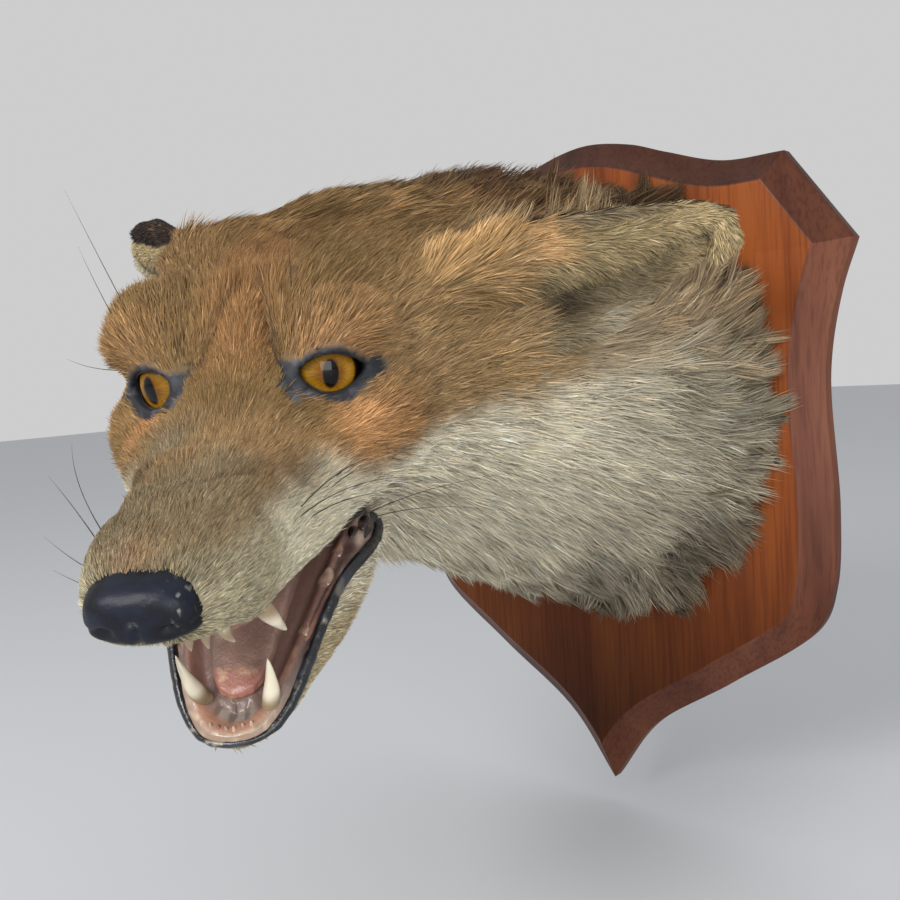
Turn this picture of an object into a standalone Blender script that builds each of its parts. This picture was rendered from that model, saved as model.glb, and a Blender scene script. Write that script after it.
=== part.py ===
"""Mounted fox head on a wooden shield.

The shield's back lies on the wall plane y = 0, +Z is up and the head looks
out along -Y, turned towards +X.  Metres throughout; the tables of sections
below are in millimetres and are scaled by MM.
The solids follow the outline of the coat, out to the tips of the hair.
"""
import math

import bmesh
import bpy
import numpy as np
from mathutils import Matrix, Vector

for old in list(bpy.data.objects):
    bpy.data.objects.remove(old, do_unlink=True)

MM = 0.001
GAP = 0.3                 # clearance between neighbouring pieces, mm

# ---------------------------------------------------------------- sizes, mm
SHIELD_H = 260.0          # height of the shield
SHIELD_T = 14.0           # its thickness
EDGE_T = 5.2              # square part of the edge, behind the bevel
BEVEL_W = 9.8             # width of the bevel seen from the front

HEAD_AT = (21.4, -193.1, 45.8)   # point midway between the eyes
HEAD_YAW = 34.85          # degrees, turned to the fox's left
HEAD_PITCH = 18.98        # degrees, nose down
HEAD_ROLL = 1.83
PARTING_NECK = -64.0      # F of the upright plane that parts head and neck
PARTING_YAW = 27.0        # degrees that plane is turned with the head
PARTING_MUZZLE = 29.0     # head and muzzle part here

EYE_R = 9.2
EYE_PUPIL = (3.0, 23.0, 0.3)     # centre of the cornea, left eye
EYE_OUT = 27.0            # degrees the eyes look outwards
EYE_UP = 4.0

# cranium, cheeks and muzzle: station F, centre L, half width, top U, bottom U,
# squareness.  The form is fuller on the left, behind the spread ear.
HEAD_SECTIONS = [
    (75.5, -0.5, 7.0, -14.5, -25.0, 2.2),
    (71.0, -0.5, 12.5, -11.0, -29.0, 2.5),
    (62.0, -0.5, 15.5, -7.5, -32.0, 2.8),
    (48.0, 0.0, 17.5, -5.5, -34.0, 2.8),
    (36.0, 0.0, 20.5, -4.5, -36.0, 2.6),
    (24.0, 0.0, 25.0, -2.0, -37.0, 2.4),
    (12.0, -0.5, 32.5, 3.5, -39.0, 2.2),
    (0.0, -0.5, 39.0, 10.0, -43.0, 2.1),
    (-12.0, 1.0, 44.0, 19.5, -48.0, 2.1),
    (-25.0, 4.5, 47.5, 28.5, -53.0, 2.1),
    (-40.0, 6.5, 51.5, 34.0, -57.0, 2.1),
    (-55.0, 7.0, 55.0, 37.0, -60.0, 2.1),
    (-75.0, 7.0, 53.0, 38.0, -60.0, 2.0),
    (-95.0, 8.0, 44.0, 32.0, -52.0, 2.0),
]
# neck: y, centre x, centre z, half width, half height
NECK_SECTIONS = [
    (-14.3, 11.0, 26.0, 64.0, 76.0),
    (-20.0, 11.0, 26.5, 71.0, 82.0),
    (-30.0, 10.0, 27.0, 73.5, 83.5),
    (-45.0, 8.0, 29.5, 70.5, 79.0),
    (-65.0, 5.0, 33.0, 67.5, 75.0),
    (-90.0, 1.0, 36.5, 64.0, 68.0),
    (-115.0, -4.5, 39.0, 61.5, 60.0),
    (-140.0, -10.0, 42.0, 56.5, 53.0),
    (-158.0, -11.0, 45.0, 43.0, 40.0),
]
# lower jaw: the same columns
JAW_SECTIONS = [
    (57.5, 0.0, 6.0, -58.0, -66.0, 2.3),
    (54.0, 0.0, 10.5, -53.0, -67.5, 2.5),
    (46.0, 0.0, 15.0, -46.0, -69.0, 2.8),
    (36.0, 0.0, 18.8, -40.0, -69.0, 2.8),
    (24.0, 0.0, 24.5, -34.0, -69.0, 2.6),
    (12.0, 0.0, 28.0, -30.0, -67.0, 2.4),
    (0.0, 0.0, 29.0, -32.0, -65.0, 2.2),
    (-18.0, 0.0, 28.0, -36.0, -64.0, 2.1),
    (-32.0, 0.0, 24.0, -40.0, -62.0, 2.1),
]
MOUTH_CORNER = (7.0, -36.5)      # F, U where the lips meet
PALATE_FRONT = (75.0, -29.5)     # F, U of the upper lip line at the front
JAW_FRONT = (58.0, -61.5)        # F, U of the lower lip line at the front


# ------------------------------------------------------------ head's own axes
def head_axes():
    yaw, pitch, roll = (math.radians(v) for v in (HEAD_YAW, HEAD_PITCH, HEAD_ROLL))
    fwd = Vector((math.sin(yaw) * math.cos(pitch), -math.cos(yaw) * math.cos(pitch),
                  -math.sin(pitch)))
    left0 = Vector((math.cos(yaw), math.sin(yaw), 0.0))
    up0 = fwd.cross(left0)
    if up0.z < 0:
        up0 = -up0
    left = math.cos(roll) * left0 + math.sin(roll) * up0
    up = -math.sin(roll) * left0 + math.cos(roll) * up0
    return fwd, left, up


FWD, LEFT, UP = head_axes()
CENTRE = Vector(HEAD_AT)


def at_head(f, l, u):
    """Millimetre point in the head's axes (forward, left, up) to the world."""
    return CENTRE + FWD * f + LEFT * l + UP * u


def direction(f, l, u):
    return (FWD * f + LEFT * l + UP * u).normalized()


# ------------------------------------------------------------------- helpers
def material(name, colour, roughness, metallic=0.0):
    mat = bpy.data.materials.new(name)
    mat.use_nodes = True
    bsdf = mat.node_tree.nodes["Principled BSDF"]
    bsdf.inputs["Base Color"].default_value = (*colour, 1.0)
    bsdf.inputs["Roughness"].default_value = roughness
    bsdf.inputs["Metallic"].default_value = metallic
    mat.diffuse_color = (*colour, 1.0)
    return mat


def link(name, mesh, mat=None):
    obj = bpy.data.objects.new(name, mesh)
    bpy.context.scene.collection.objects.link(obj)
    if mat:
        mesh.materials.clear()
        mesh.materials.append(mat)
    return obj


def mesh_from(name, points_mm, faces):
    """Closed mesh from millimetre points, with its faces turned outwards."""
    mesh = bpy.data.meshes.new(name)
    bm = bmesh.new()
    verts = [bm.verts.new(Vector(p) * MM) for p in points_mm]
    for face in faces:
        bm.faces.new([verts[i] for i in face])
    bmesh.ops.recalc_face_normals(bm, faces=bm.faces[:])
    bm.to_mesh(mesh)
    bm.free()
    return mesh


def loft(name, rings):
    """Bridge a list of equal rings of points and cap both ends."""
    n = len(rings[0])
    points = [p for ring in rings for p in ring]
    faces = []
    for k in range(len(rings) - 1):
        for i in range(n):
            j = (i + 1) % n
            faces.append((k * n + i, k * n + j, (k + 1) * n + j, (k + 1) * n + i))
    for k in (0, len(rings) - 1):
        centre = sum((Vector(p) for p in rings[k]), Vector()) / n
        points.append(centre)
        c = len(points) - 1
        for i in range(n):
            faces.append((k * n + i, k * n + (i + 1) % n, c))
    return mesh_from(name, points, faces)


def superellipse(angle, half_w, top, bottom, power):
    """Point of a section: round in the middle, squarer as power grows."""
    middle = 0.5 * (top + bottom)
    c, s = math.cos(angle), math.sin(angle)
    across = half_w * math.copysign(abs(c) ** (2.0 / power), c)
    up = 0.5 * (top - bottom) * math.copysign(abs(s) ** (2.0 / power), s)
    return across, middle + up


def smooth_table(rows, steps):
    """Catmull-Rom between the rows of a table of sections."""
    rows = np.array(rows, float)
    ends = np.vstack([2 * rows[0] - rows[1], rows, 2 * rows[-1] - rows[-2]])
    out = []
    for k in range(1, len(ends) - 2):
        p0, p1, p2, p3 = ends[k - 1:k + 3]
        for t in np.arange(steps) / steps:
            out.append(0.5 * (2 * p1 + (p2 - p0) * t + (2 * p0 - 5 * p1 + 4 * p2 - p3) * t ** 2
                              + (3 * p1 - p0 - 3 * p2 + p3) * t ** 3))
    out.append(rows[-1])
    return out


def head_loft(name, table, around=36, steps=2):
    rings = []
    for f, mid_l, half_w, top, bottom, power in smooth_table(table, steps):
        ring = []
        for i in range(around):
            l, u = superellipse(2 * math.pi * i / around, half_w, top, bottom, power)
            ring.append(at_head(f, mid_l + l, u))
        rings.append(ring)
    return loft(name, rings)


def neck_loft(name, around=44, steps=2):
    rings = []
    for y, cx, cz, half_w, half_h in smooth_table(NECK_SECTIONS, steps):
        rings.append([Vector((cx + half_w * math.cos(a), y, cz + half_h * math.sin(a)))
                      for a in (2 * math.pi * i / around for i in range(around))])
    return loft(name, rings)


def ellipsoid(name, centre, radii, axes=None, segments=20, rings=12):
    """Ellipsoid at a world point in mm; axes default to the head's own."""
    fwd, left, up = axes or (FWD, LEFT, UP)
    mesh = bpy.data.meshes.new(name)
    bm = bmesh.new()
    bmesh.ops.create_uvsphere(bm, u_segments=segments, v_segments=rings, radius=1.0)
    for v in bm.verts:
        x, y, z = v.co
        v.co = (Vector(centre) + fwd * x * radii[0] + left * y * radii[1] + up * z * radii[2]) * MM
    bmesh.ops.recalc_face_normals(bm, faces=bm.faces[:])
    bm.to_mesh(mesh)
    bm.free()
    return mesh


def head_block(name, corners):
    """Six-sided block from eight head-axis corners: bottom four, then top four."""
    points = [at_head(*c) for c in corners]
    faces = [(0, 1, 2, 3), (4, 5, 6, 7), (0, 1, 5, 4), (1, 2, 6, 5), (2, 3, 7, 6), (3, 0, 4, 7)]
    return mesh_from(name, points, faces)


def cone_tooth(name, root, tip, radius, bend=Vector((0, 0, 0)), around=8, steps=5):
    """Curved pointed tooth from root to tip (world mm)."""
    root, tip = Vector(root), Vector(tip)
    axis = (tip - root).normalized()
    side = axis.cross(UP)
    side = side.normalized() if side.length > 0.1 else LEFT
    other = axis.cross(side)
    rings = []
    for k in range(steps + 1):
        t = k / steps
        r = radius * (1 - t) ** 0.65 + 0.25
        centre = root.lerp(tip, t) + bend * (4 * t * (1 - t))
        rings.append([centre + side * r * math.cos(a) + other * r * math.sin(a)
                      for a in (2 * math.pi * i / around for i in range(around))])
    return loft(name, rings)


def joined(name, meshes):
    """One mesh holding several closed ones; a Remesh then makes them one body."""
    out = bpy.data.meshes.new(name)
    bm = bmesh.new()
    for mesh in meshes:
        bm.from_mesh(mesh)
    bm.to_mesh(out)
    bm.free()
    return out


def fused(name, meshes, voxel, smooth, ratio):
    """Union of overlapping forms: voxel remesh, smooth, then thin out the faces."""
    obj = link(name + "_forms", joined(name, meshes))
    remesh = obj.modifiers.new("union", "REMESH")
    remesh.mode = "VOXEL"
    remesh.voxel_size = voxel * MM
    if smooth:
        soft = obj.modifiers.new("soften", "SMOOTH")
        soft.factor = 0.5
        soft.iterations = smooth
    thin = obj.modifiers.new("thin_out", "DECIMATE")
    thin.ratio = ratio
    graph = bpy.context.evaluated_depsgraph_get()
    mesh = bpy.data.meshes.new_from_object(obj.evaluated_get(graph))
    mesh.name = name
    bpy.data.objects.remove(obj, do_unlink=True)
    return mesh


def cutter(name, mesh, grow=0.0):
    obj = link(name, mesh)
    obj.hide_render = True
    obj.display_type = "WIRE"
    if grow:
        out = obj.modifiers.new("clearance", "DISPLACE")
        out.strength = grow * MM
        out.mid_level = 0.0
    return obj


def cut(obj, tool, operation="DIFFERENCE"):
    mod = obj.modifiers.new("part_" + tool.name, "BOOLEAN")
    mod.object = tool
    mod.operation = operation
    mod.solver = "EXACT"


def shade(mesh, angle=40):
    mesh.shade_smooth()
    mesh.set_sharp_from_angle(angle=math.radians(angle))


# ----------------------------------------------------------------- materials
WOOD = material("mahogany", (0.23, 0.075, 0.028), 0.38)
COAT = material("fox_coat", (0.42, 0.27, 0.14), 0.85)
RUFF = material("pale_ruff", (0.55, 0.48, 0.36), 0.9)
EAR = material("ear_coat", (0.60, 0.50, 0.34), 0.9)
GLASS = material("amber_glass", (0.55, 0.26, 0.03), 0.06)
NOSE = material("nose_leather", (0.012, 0.014, 0.02), 0.3)
GUM = material("painted_gum", (0.36, 0.20, 0.16), 0.45)
TONGUE = material("painted_tongue", (0.26, 0.13, 0.11), 0.5)


# -------------------------------------------------------------------- shield
def shield_half():
    """Right half of the outline, top centre to tip, as x, z in mm, with the
    indices of its sharp corners.  Ogee top, straight chamfered shoulder, then
    a waisted side that sweeps round to the point."""
    h = SHIELD_H
    top = [(0.0, 0.500), (0.080, 0.487), (0.139, 0.4650), (0.225, 0.4365), (0.312, 0.433)]
    side = [(0.400, 0.309), (0.377, 0.243), (0.359, 0.139), (0.366, -0.046),
            (0.359, -0.154), (0.337, -0.211), (0.211, -0.306), (0.075, -0.400), (0.0, -0.500)]

    def curve(points, per, flat_start=False):
        pts = np.array(points, float)
        first = pts[1] * [-1, 1] if flat_start else 2 * pts[0] - pts[1]
        ext = np.vstack([first, pts, 2 * pts[-1] - pts[-2]])
        knots = np.concatenate([[0], np.cumsum(np.linalg.norm(np.diff(ext, axis=0), axis=1) ** 0.5)])
        out = []
        for k in range(1, len(ext) - 2):
            p0, p1, p2, p3 = ext[k - 1:k + 3]
            t0, t1, t2, t3 = knots[k - 1:k + 3]
            for t in np.linspace(t1, t2, per, endpoint=False):
                a1 = (t1 - t) / (t1 - t0) * p0 + (t - t0) / (t1 - t0) * p1
                a2 = (t2 - t) / (t2 - t1) * p1 + (t - t1) / (t2 - t1) * p2
                a3 = (t3 - t) / (t3 - t2) * p2 + (t - t2) / (t3 - t2) * p3
                b1 = (t2 - t) / (t2 - t0) * a1 + (t - t0) / (t2 - t0) * a2
                b2 = (t3 - t) / (t3 - t1) * a2 + (t - t1) / (t3 - t1) * a3
                out.append((t2 - t) / (t2 - t1) * b1 + (t - t1) / (t2 - t1) * b2)
        out.append(pts[-1])
        return [tuple(p * h) for p in out]

    upper = curve(top, 4, flat_start=True)
    lower = curve(side, 4)
    return upper + lower


def shield_mesh():
    half = shield_half()
    outline = half + [(-x, z) for x, z in half[-2:0:-1]]
    n = len(outline)
    pts = [Vector(p) for p in outline]
    inner = []
    for i in range(n):
        before = (pts[i] - pts[i - 1]).normalized()
        after = (pts[(i + 1) % n] - pts[i]).normalized()
        n1, n2 = Vector((before.y, -before.x)), Vector((after.y, -after.x))
        mitre = (n1 + n2).normalized()
        inner.append(pts[i] + mitre * (BEVEL_W / max(mitre.dot(n1), 0.3)))
    rings = [[Vector((p.x, 0.0, p.y)) for p in pts],
             [Vector((p.x, -EDGE_T, p.y)) for p in pts],
             [Vector((p.x, -SHIELD_T, p.y)) for p in inner]]
    points = [p for ring in rings for p in ring]
    faces = [tuple(range(n)), tuple(range(2 * n, 3 * n))]
    for k in range(2):
        for i in range(n):
            j = (i + 1) % n
            faces.append((k * n + i, k * n + j, (k + 1) * n + j, (k + 1) * n + i))
    return mesh_from("shield_board", points, faces)


shield = link("shield_board", shield_mesh(), WOOD)
shade(shield.data, 25)

# -------------------------------------------- head, muzzle and neck as a whole
forms = [head_loft("upper", HEAD_SECTIONS), neck_loft("neck_form")]
for side in (1, -1):
    # brow above each eye, cheekbone below it, and the curled whisker pad
    forms.append(ellipsoid("brow", at_head(-11, side * 20, 12), (9, 11, 6)))
    forms.append(ellipsoid("cheekbone", at_head(-14, side * 32, -15), (18, 9, 9)))
    forms.append(ellipsoid("whisker_pad", at_head(52, side * 9, -19), (19, 9.5, 12)))
whole = fused("whole", forms, 2.6, 8, 0.072)

lip_slope = (PALATE_FRONT[1] - MOUTH_CORNER[1]) / (PALATE_FRONT[0] - MOUTH_CORNER[0])
jaw_slope = (JAW_FRONT[1] - MOUTH_CORNER[1]) / (JAW_FRONT[0] - MOUTH_CORNER[0])
FLOOR_DROP = 2.0          # the gums start this far below the lower lip line


def palate_u(f):
    """Height of the upper lip line at station f."""
    return MOUTH_CORNER[1] + lip_slope * (f - MOUTH_CORNER[0])


def floor_u(f):
    """Height of the jaw's flat top, under gums and tongue."""
    return MOUTH_CORNER[1] - FLOOR_DROP + jaw_slope * (f - MOUTH_CORNER[0])


def wedge(name, f0, f1, low0, low1, high0, high1, reach=80):
    """Block between two stations with sloping floor and roof."""
    return head_block(name, [
        (f0, -reach, low0), (f1, -reach, low1), (f1, reach, low1), (f0, reach, low0),
        (f0, -reach, high0), (f1, -reach, high1), (f1, reach, high1), (f0, reach, high0)])


# the mouth: below the upper lip line and forward of the corner is open
under_lip = cutter("cut_under_lip", wedge("under_lip", MOUTH_CORNER[0], 95, -95, -95,
                                          palate_u(MOUTH_CORNER[0]), palate_u(95)))
over_jaw = cutter("cut_over_jaw", wedge("over_jaw", -60, 95, floor_u(-60), floor_u(95), 60, 60))


def half_space(name, point, normal):
    """Large block filling the side of a plane that `normal` points to."""
    normal = normal.normalized()
    a = normal.cross(Vector((0, 0, 1))).normalized()
    b = a.cross(normal)
    big = 320
    points = [point + a * x * big + b * y * big + normal * z * 2 * big
              for z in (0, 1) for x, y in ((-1, -1), (1, -1), (1, 1), (-1, 1))]
    faces = [(0, 1, 2, 3), (4, 5, 6, 7), (0, 1, 5, 4), (1, 2, 6, 5), (2, 3, 7, 6), (3, 0, 4, 7)]
    return cutter(name, mesh_from(name, points, faces))


turn = math.radians(PARTING_YAW)
nape = Vector((math.sin(turn), -math.cos(turn), 0.0))
neck_plane = at_head(PARTING_NECK, 0, 0)
muzzle_plane = at_head(PARTING_MUZZLE, 0, 0)
behind_head = half_space("cut_behind_head", neck_plane + nape * GAP / 2, -nape)
before_neck = half_space("cut_before_neck", neck_plane - nape * GAP / 2, nape)
before_head = half_space("cut_before_head", muzzle_plane - FWD * GAP / 2, FWD)
behind_muzzle = half_space("cut_behind_muzzle", muzzle_plane + FWD * GAP / 2, -FWD)


# ---------------------------------------------------------------------- eyes
def eye_look(side):
    out, up = math.radians(EYE_OUT), math.radians(EYE_UP)
    return direction(math.cos(out) * math.cos(up), side * math.sin(out) * math.cos(up), math.sin(up))


def eye_centre(side):
    f, l, u = EYE_PUPIL
    return at_head(f, side * l, u) - eye_look(side) * EYE_R


sockets = []
for side, name in ((1, "left"), (-1, "right")):
    look = eye_look(side)
    across = look.cross(UP).normalized()
    over = across.cross(look)
    link("eye_" + name, ellipsoid("eye_" + name, eye_centre(side), (EYE_R,) * 3,
                                  (look, across, over), 18, 10), GLASS)
    shade(bpy.data.objects["eye_" + name].data, 80)
    # almond opening in front of the eye, round socket behind it
    rings = []
    r = EYE_R + GAP + 0.15
    for depth, wide, high in ((-r, 0.02, 0.02), (-0.9 * r, 0.46, 0.46), (-0.6 * r, 0.81, 0.81),
                              (-0.25 * r, 0.98, 0.98), (0.05 * r, 1.01, 1.01), (0.5 * r, 1.0, 0.93),
                              (1.0 * r, 1.1, 0.85), (2.6 * r, 1.7, 1.3)):
        rings.append([eye_centre(side) + look * depth + across * r * wide * math.cos(a)
                      + over * r * high * math.sin(a)
                      for a in (2 * math.pi * i / 20 for i in range(20))])
    sockets.append(cutter("cut_socket_" + name, loft("socket_" + name, rings)))

# ------------------------------------------------------------------ nose pad
NOSE_AT = (71.3, -0.9, -18.9)


def nose_mesh(name, grow=0.0):
    """Broad leathery pad, wider above than below, with a rounded front."""
    rings = []
    rows = [(-9.0, 0.72, 0.70), (-6.0, 0.95, 0.93), (0.0, 1.04, 1.05), (3.5, 0.95, 0.92),
            (5.8, 0.74, 0.70), (7.0, 0.40, 0.38)]
    for f, wide, high in rows:
        ring = []
        for i in range(24):
            l, u = superellipse(2 * math.pi * i / 24, 11.3 * wide + grow, 6.5 * high + grow,
                                -6.5 * high - grow, 2.5)
            l *= 1.0 + 0.012 * u
            ring.append(at_head(NOSE_AT[0] + f + (grow if f > 0 else -grow), NOSE_AT[1] + l,
                                NOSE_AT[2] + u - 0.10 * f))
        rings.append(ring)
    return loft(name, rings)


nose = link("nose_pad", nose_mesh("nose_pad"), NOSE)
shade(nose.data, 60)
nose_room = cutter("cut_nose_room", nose_mesh("nose_room", 0.35))

# ------------------------------------------------------- head, muzzle and neck
head = link("head", whole.copy(), COAT)
cut(head, under_lip)
cut(head, before_head)
cut(head, behind_head)
for socket in sockets:
    cut(head, socket)

muzzle = link("muzzle", whole.copy(), COAT)
cut(muzzle, under_lip)
cut(muzzle, behind_muzzle)
cut(muzzle, nose_room)

neck = link("neck", whole.copy(), RUFF)
cut(neck, before_neck)

whole_room = cutter("cut_whole_room", whole.copy(), grow=0.32)
cut(whole_room, under_lip)

# ---------------------------------------------------------------- lower jaw
jaw = link("lower_jaw", fused("jaw", [head_loft("jaw", JAW_SECTIONS, around=28)], 1.8, 3, 0.06), COAT)
cut(jaw, over_jaw)
cut(jaw, whole_room)


# ---------------------------------------------------------------------- ears
def ear_mesh(name, base, tip, rim_up, opening, width, cup, thick, curl):
    """Cupped leaf.  Sections run from the base to a rounded tip; each is a
    crescent whose hollow side faces `opening` and whose upper rim is rolled."""
    base, tip = Vector(base), Vector(tip)
    rings = []
    for t in (0.0, 0.14, 0.3, 0.46, 0.62, 0.76, 0.88, 0.96, 1.0):
        centre = base.lerp(tip, t) - opening * (curl * t * t)
        w = width * (0.86 + 0.5 * t - 1.02 * t * t) if t < 0.6 else \
            width * 0.792 * math.sqrt(max(1 - ((t - 0.6) / 0.415) ** 2, 0.0)) + 1.0
        hollow = cup * (1 - 0.75 * t)
        back, front = [], []
        for k in range(9):
            a = -1 + k / 4
            rise = rim_up * (a * w / 2)
            depth = opening * (-hollow * (1 - a * a))
            fat = thick * (1.0 - 0.45 * t) * (1 + 0.35 * a) * 0.5
            if abs(a) == 1:
                fat *= 0.45
            back.append(centre + rise + depth - opening * fat)
            front.append(centre + rise + depth + opening * fat)
        rings.append(back + front[::-1])
    return loft(name, rings)


ear_specs = {
    # swept back and spread outwards, hollow facing forwards and down
    "ear_left": dict(base=at_head(-46, 54, 10), tip=at_head(-86, 134, 4),
                     rim_up=direction(0.10, 0.10, 1.0), opening=direction(0.80, 0.42, -0.30),
                     width=30, cup=9, thick=9, curl=3),
    # laid close along the neck
    "ear_right": dict(base=at_head(-46, -28, 20), tip=at_head(-106, -68, 20),
                      rim_up=direction(0.05, 0.42, 0.90), opening=direction(0.50, -0.80, 0.20),
                      width=26, cup=8, thick=9, curl=2),
}
for name, spec in ear_specs.items():
    ear = link(name, fused(name, [ear_mesh(name, **spec)], 1.3, 3, 0.06), EAR)
    cut(ear, whole_room)


# ------------------------------------------------------ gums, teeth and tongue
def arch(name, rows, u_of, low, high):
    """Curved ridge of gum.  rows: F and L of its centre line and half width,
    on the left side; mirrored to the right and run round the front."""
    line = [(f, l, w) for f, l, w in rows] + [(f, -l, w) for f, l, w in rows[::-1] if l > 0]
    rings = []
    for k, (f, l, w) in enumerate(line):
        f0, l0, _ = line[max(k - 1, 0)]
        f1, l1, _ = line[min(k + 1, len(line) - 1)]
        run = Vector((f1 - f0, l1 - l0)).normalized()
        across = Vector((run.y, -run.x))
        ring = []
        for i in range(10):
            a = 2 * math.pi * i / 10
            df, dl = across.x * w * math.cos(a), across.y * w * math.cos(a)
            mid, half = 0.5 * (low + high), 0.5 * (high - low)
            ring.append(at_head(f + df, l + dl, u_of(f + df) + mid + half * math.sin(a)))
        rings.append(ring)
    return loft(name, rings)


UPPER_ARCH = [(20, 19.0, 2.6), (32, 15.5, 2.8), (44, 12.5, 2.8), (54, 10.5, 2.8), (61, 7.0, 2.8), (63.5, 0.0, 2.6)]
LOWER_ARCH = [(16, 18.5, 3.0), (26, 15.5, 3.2), (36, 13.0, 3.2), (45, 11.0, 3.4), (51.5, 6.5, 3.6), (53.0, 0.0, 3.6)]

upper = [arch("upper_arch", UPPER_ARCH, palate_u, -3.6, 1.5)]
lower = [arch("lower_arch", LOWER_ARCH, floor_u, -1.5, 3.4)]
for side in (1, -1):
    upper.append(cone_tooth("canine", at_head(55.5, side * 11.0, palate_u(55) - 1),
                            at_head(52.5, side * 15.5, palate_u(55) - 11.5), 2.3))
    for k in range(3):
        f, l = 64.3 - 0.9 * k, 1.5 + 2.7 * k
        upper.append(cone_tooth("incisor", at_head(f, side * l, palate_u(f) - 1.5),
                                at_head(f + 0.6, side * l, palate_u(f) - 5.6), 1.25, steps=3))
    for f, l in ((42, 14.0), (33, 16.2)):
        upper.append(cone_tooth("premolar", at_head(f, side * l, palate_u(f) - 1.5),
                                at_head(f, side * (l + 0.6), palate_u(f) - 6.0), 1.7, steps=3))
    lower.append(cone_tooth("canine", at_head(47.5, side * 10.0, floor_u(47) + 1),
                            at_head(50.5, side * 11.5, floor_u(50) + 14.5), 2.4,
                            bend=LEFT * (side * 1.2)))
    for f, l in ((38, 13.5), (30, 15.5), (22, 17.5)):
        lower.append(cone_tooth("premolar", at_head(f, side * l, floor_u(f) + 1.5),
                                at_head(f, side * l, floor_u(f) + 6.0), 1.6, steps=3))
above_palate = cutter("cut_above_palate", wedge("above_palate", -40, 95, palate_u(-40) - GAP,
                                                palate_u(95) - GAP, 60, 60))
below_floor = cutter("cut_below_floor", wedge("below_floor", -60, 95, -160, -160,
                                              floor_u(-60) + GAP, floor_u(95) + GAP))
gums_upper = link("gums_teeth_upper", fused("upper_gums", upper, 0.75, 1, 0.065), GUM)
cut(gums_upper, above_palate)
gums_lower = link("gums_teeth_lower", fused("lower_gums", lower, 0.75, 1, 0.065), GUM)
cut(gums_lower, below_floor)

# tongue: a broad flat slab that lies on the floor of the mouth
rings = []
for f, half_w, high in ((45.5, 2.5, 1.2), (43.5, 5.5, 2.4), (38.0, 7.4, 3.4), (30.0, 9.0, 4.0),
                        (22.0, 10.8, 4.0), (14.0, 12.6, 3.4)):
    ring = []
    for i in range(20):
        l, u = superellipse(2 * math.pi * i / 20, half_w, high, -high, 2.4)
        ring.append(at_head(f, l, floor_u(f) + u))
    rings.append(ring)
tongue = link("tongue", loft("tongue", rings), TONGUE)
cut(tongue, below_floor)
shade(tongue.data, 50)

for obj in (head, muzzle, neck, jaw, gums_upper, gums_lower,
            bpy.data.objects["ear_left"], bpy.data.objects["ear_right"]):
    obj.data.shade_smooth()
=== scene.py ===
"""Looks of the mounted fox head: skin, coat, eyes, mouth and the wooden shield."""
import math

import bpy
import numpy as np
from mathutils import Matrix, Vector
from mathutils.bvhtree import BVHTree
from mathutils.geometry import tessellate_polygon
from mathutils.kdtree import KDTree


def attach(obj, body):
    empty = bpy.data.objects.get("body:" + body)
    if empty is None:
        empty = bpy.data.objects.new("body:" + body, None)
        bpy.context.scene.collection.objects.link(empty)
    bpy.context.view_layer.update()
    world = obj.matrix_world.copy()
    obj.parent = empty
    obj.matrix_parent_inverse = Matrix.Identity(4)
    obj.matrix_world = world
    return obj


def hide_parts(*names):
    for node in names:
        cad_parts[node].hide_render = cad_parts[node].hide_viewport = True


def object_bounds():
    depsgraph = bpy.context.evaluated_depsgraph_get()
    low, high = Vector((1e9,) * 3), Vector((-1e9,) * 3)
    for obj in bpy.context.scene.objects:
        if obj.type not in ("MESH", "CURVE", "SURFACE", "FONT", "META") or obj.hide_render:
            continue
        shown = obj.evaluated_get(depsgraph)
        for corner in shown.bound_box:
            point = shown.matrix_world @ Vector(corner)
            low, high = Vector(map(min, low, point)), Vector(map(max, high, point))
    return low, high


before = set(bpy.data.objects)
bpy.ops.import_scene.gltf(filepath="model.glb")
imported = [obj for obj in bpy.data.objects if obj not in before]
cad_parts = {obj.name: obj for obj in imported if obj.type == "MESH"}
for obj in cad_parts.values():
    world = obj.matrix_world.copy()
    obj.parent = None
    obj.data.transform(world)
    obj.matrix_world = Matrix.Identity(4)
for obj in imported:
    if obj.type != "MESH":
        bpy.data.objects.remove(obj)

CAD_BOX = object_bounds()
MM = 0.001
scene = bpy.context.scene

# ------------------------------------------------------------------ the frame
# Head axes: forward F, the fox's left L, up U; sizes below are in millimetres.
HEAD_AT = np.array([21.4, -193.1, 45.8])
YAW, PITCH, ROLL = (math.radians(v) for v in (34.85, 18.98, 1.83))
fwd = np.array([math.sin(YAW) * math.cos(PITCH), -math.cos(YAW) * math.cos(PITCH), -math.sin(PITCH)])
left0 = np.array([math.cos(YAW), math.sin(YAW), 0.0])
up0 = np.cross(fwd, left0)
up0 *= np.sign(up0[2])
left = math.cos(ROLL) * left0 + math.sin(ROLL) * up0
up = -math.sin(ROLL) * left0 + math.cos(ROLL) * up0
AXES = np.stack([fwd, left, up])


def to_world(h):
    return HEAD_AT + np.asarray(h, float) @ AXES


def to_head(p):
    return (np.asarray(p, float) - HEAD_AT) @ AXES.T


def unit(v):
    v = np.asarray(v, float)
    return v / np.maximum(np.linalg.norm(v, axis=-1, keepdims=True), 1e-9)


def turn(v):
    """A direction in head axes as a unit vector in the world."""
    return unit(np.asarray(v, float) @ AXES)


def smooth(x, lo, hi):
    t = np.clip((x - lo) / (hi - lo), 0, 1)
    return t * t * (3 - 2 * t)


def bump(x, centre, width):
    return np.exp(-((x - centre) / width) ** 2)


def smin(a, b, k):
    h = np.clip(0.5 + 0.5 * (b - a) / k, 0, 1)
    return b * (1 - h) + a * h - k * h * (1 - h)


def smax(a, b, k):
    return -smin(-a, -b, k)


# ------------------------------------------------------- value noise, repeatable
NOISE = np.random.default_rng(7).random((64, 64, 64)).astype(np.float32)


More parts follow.
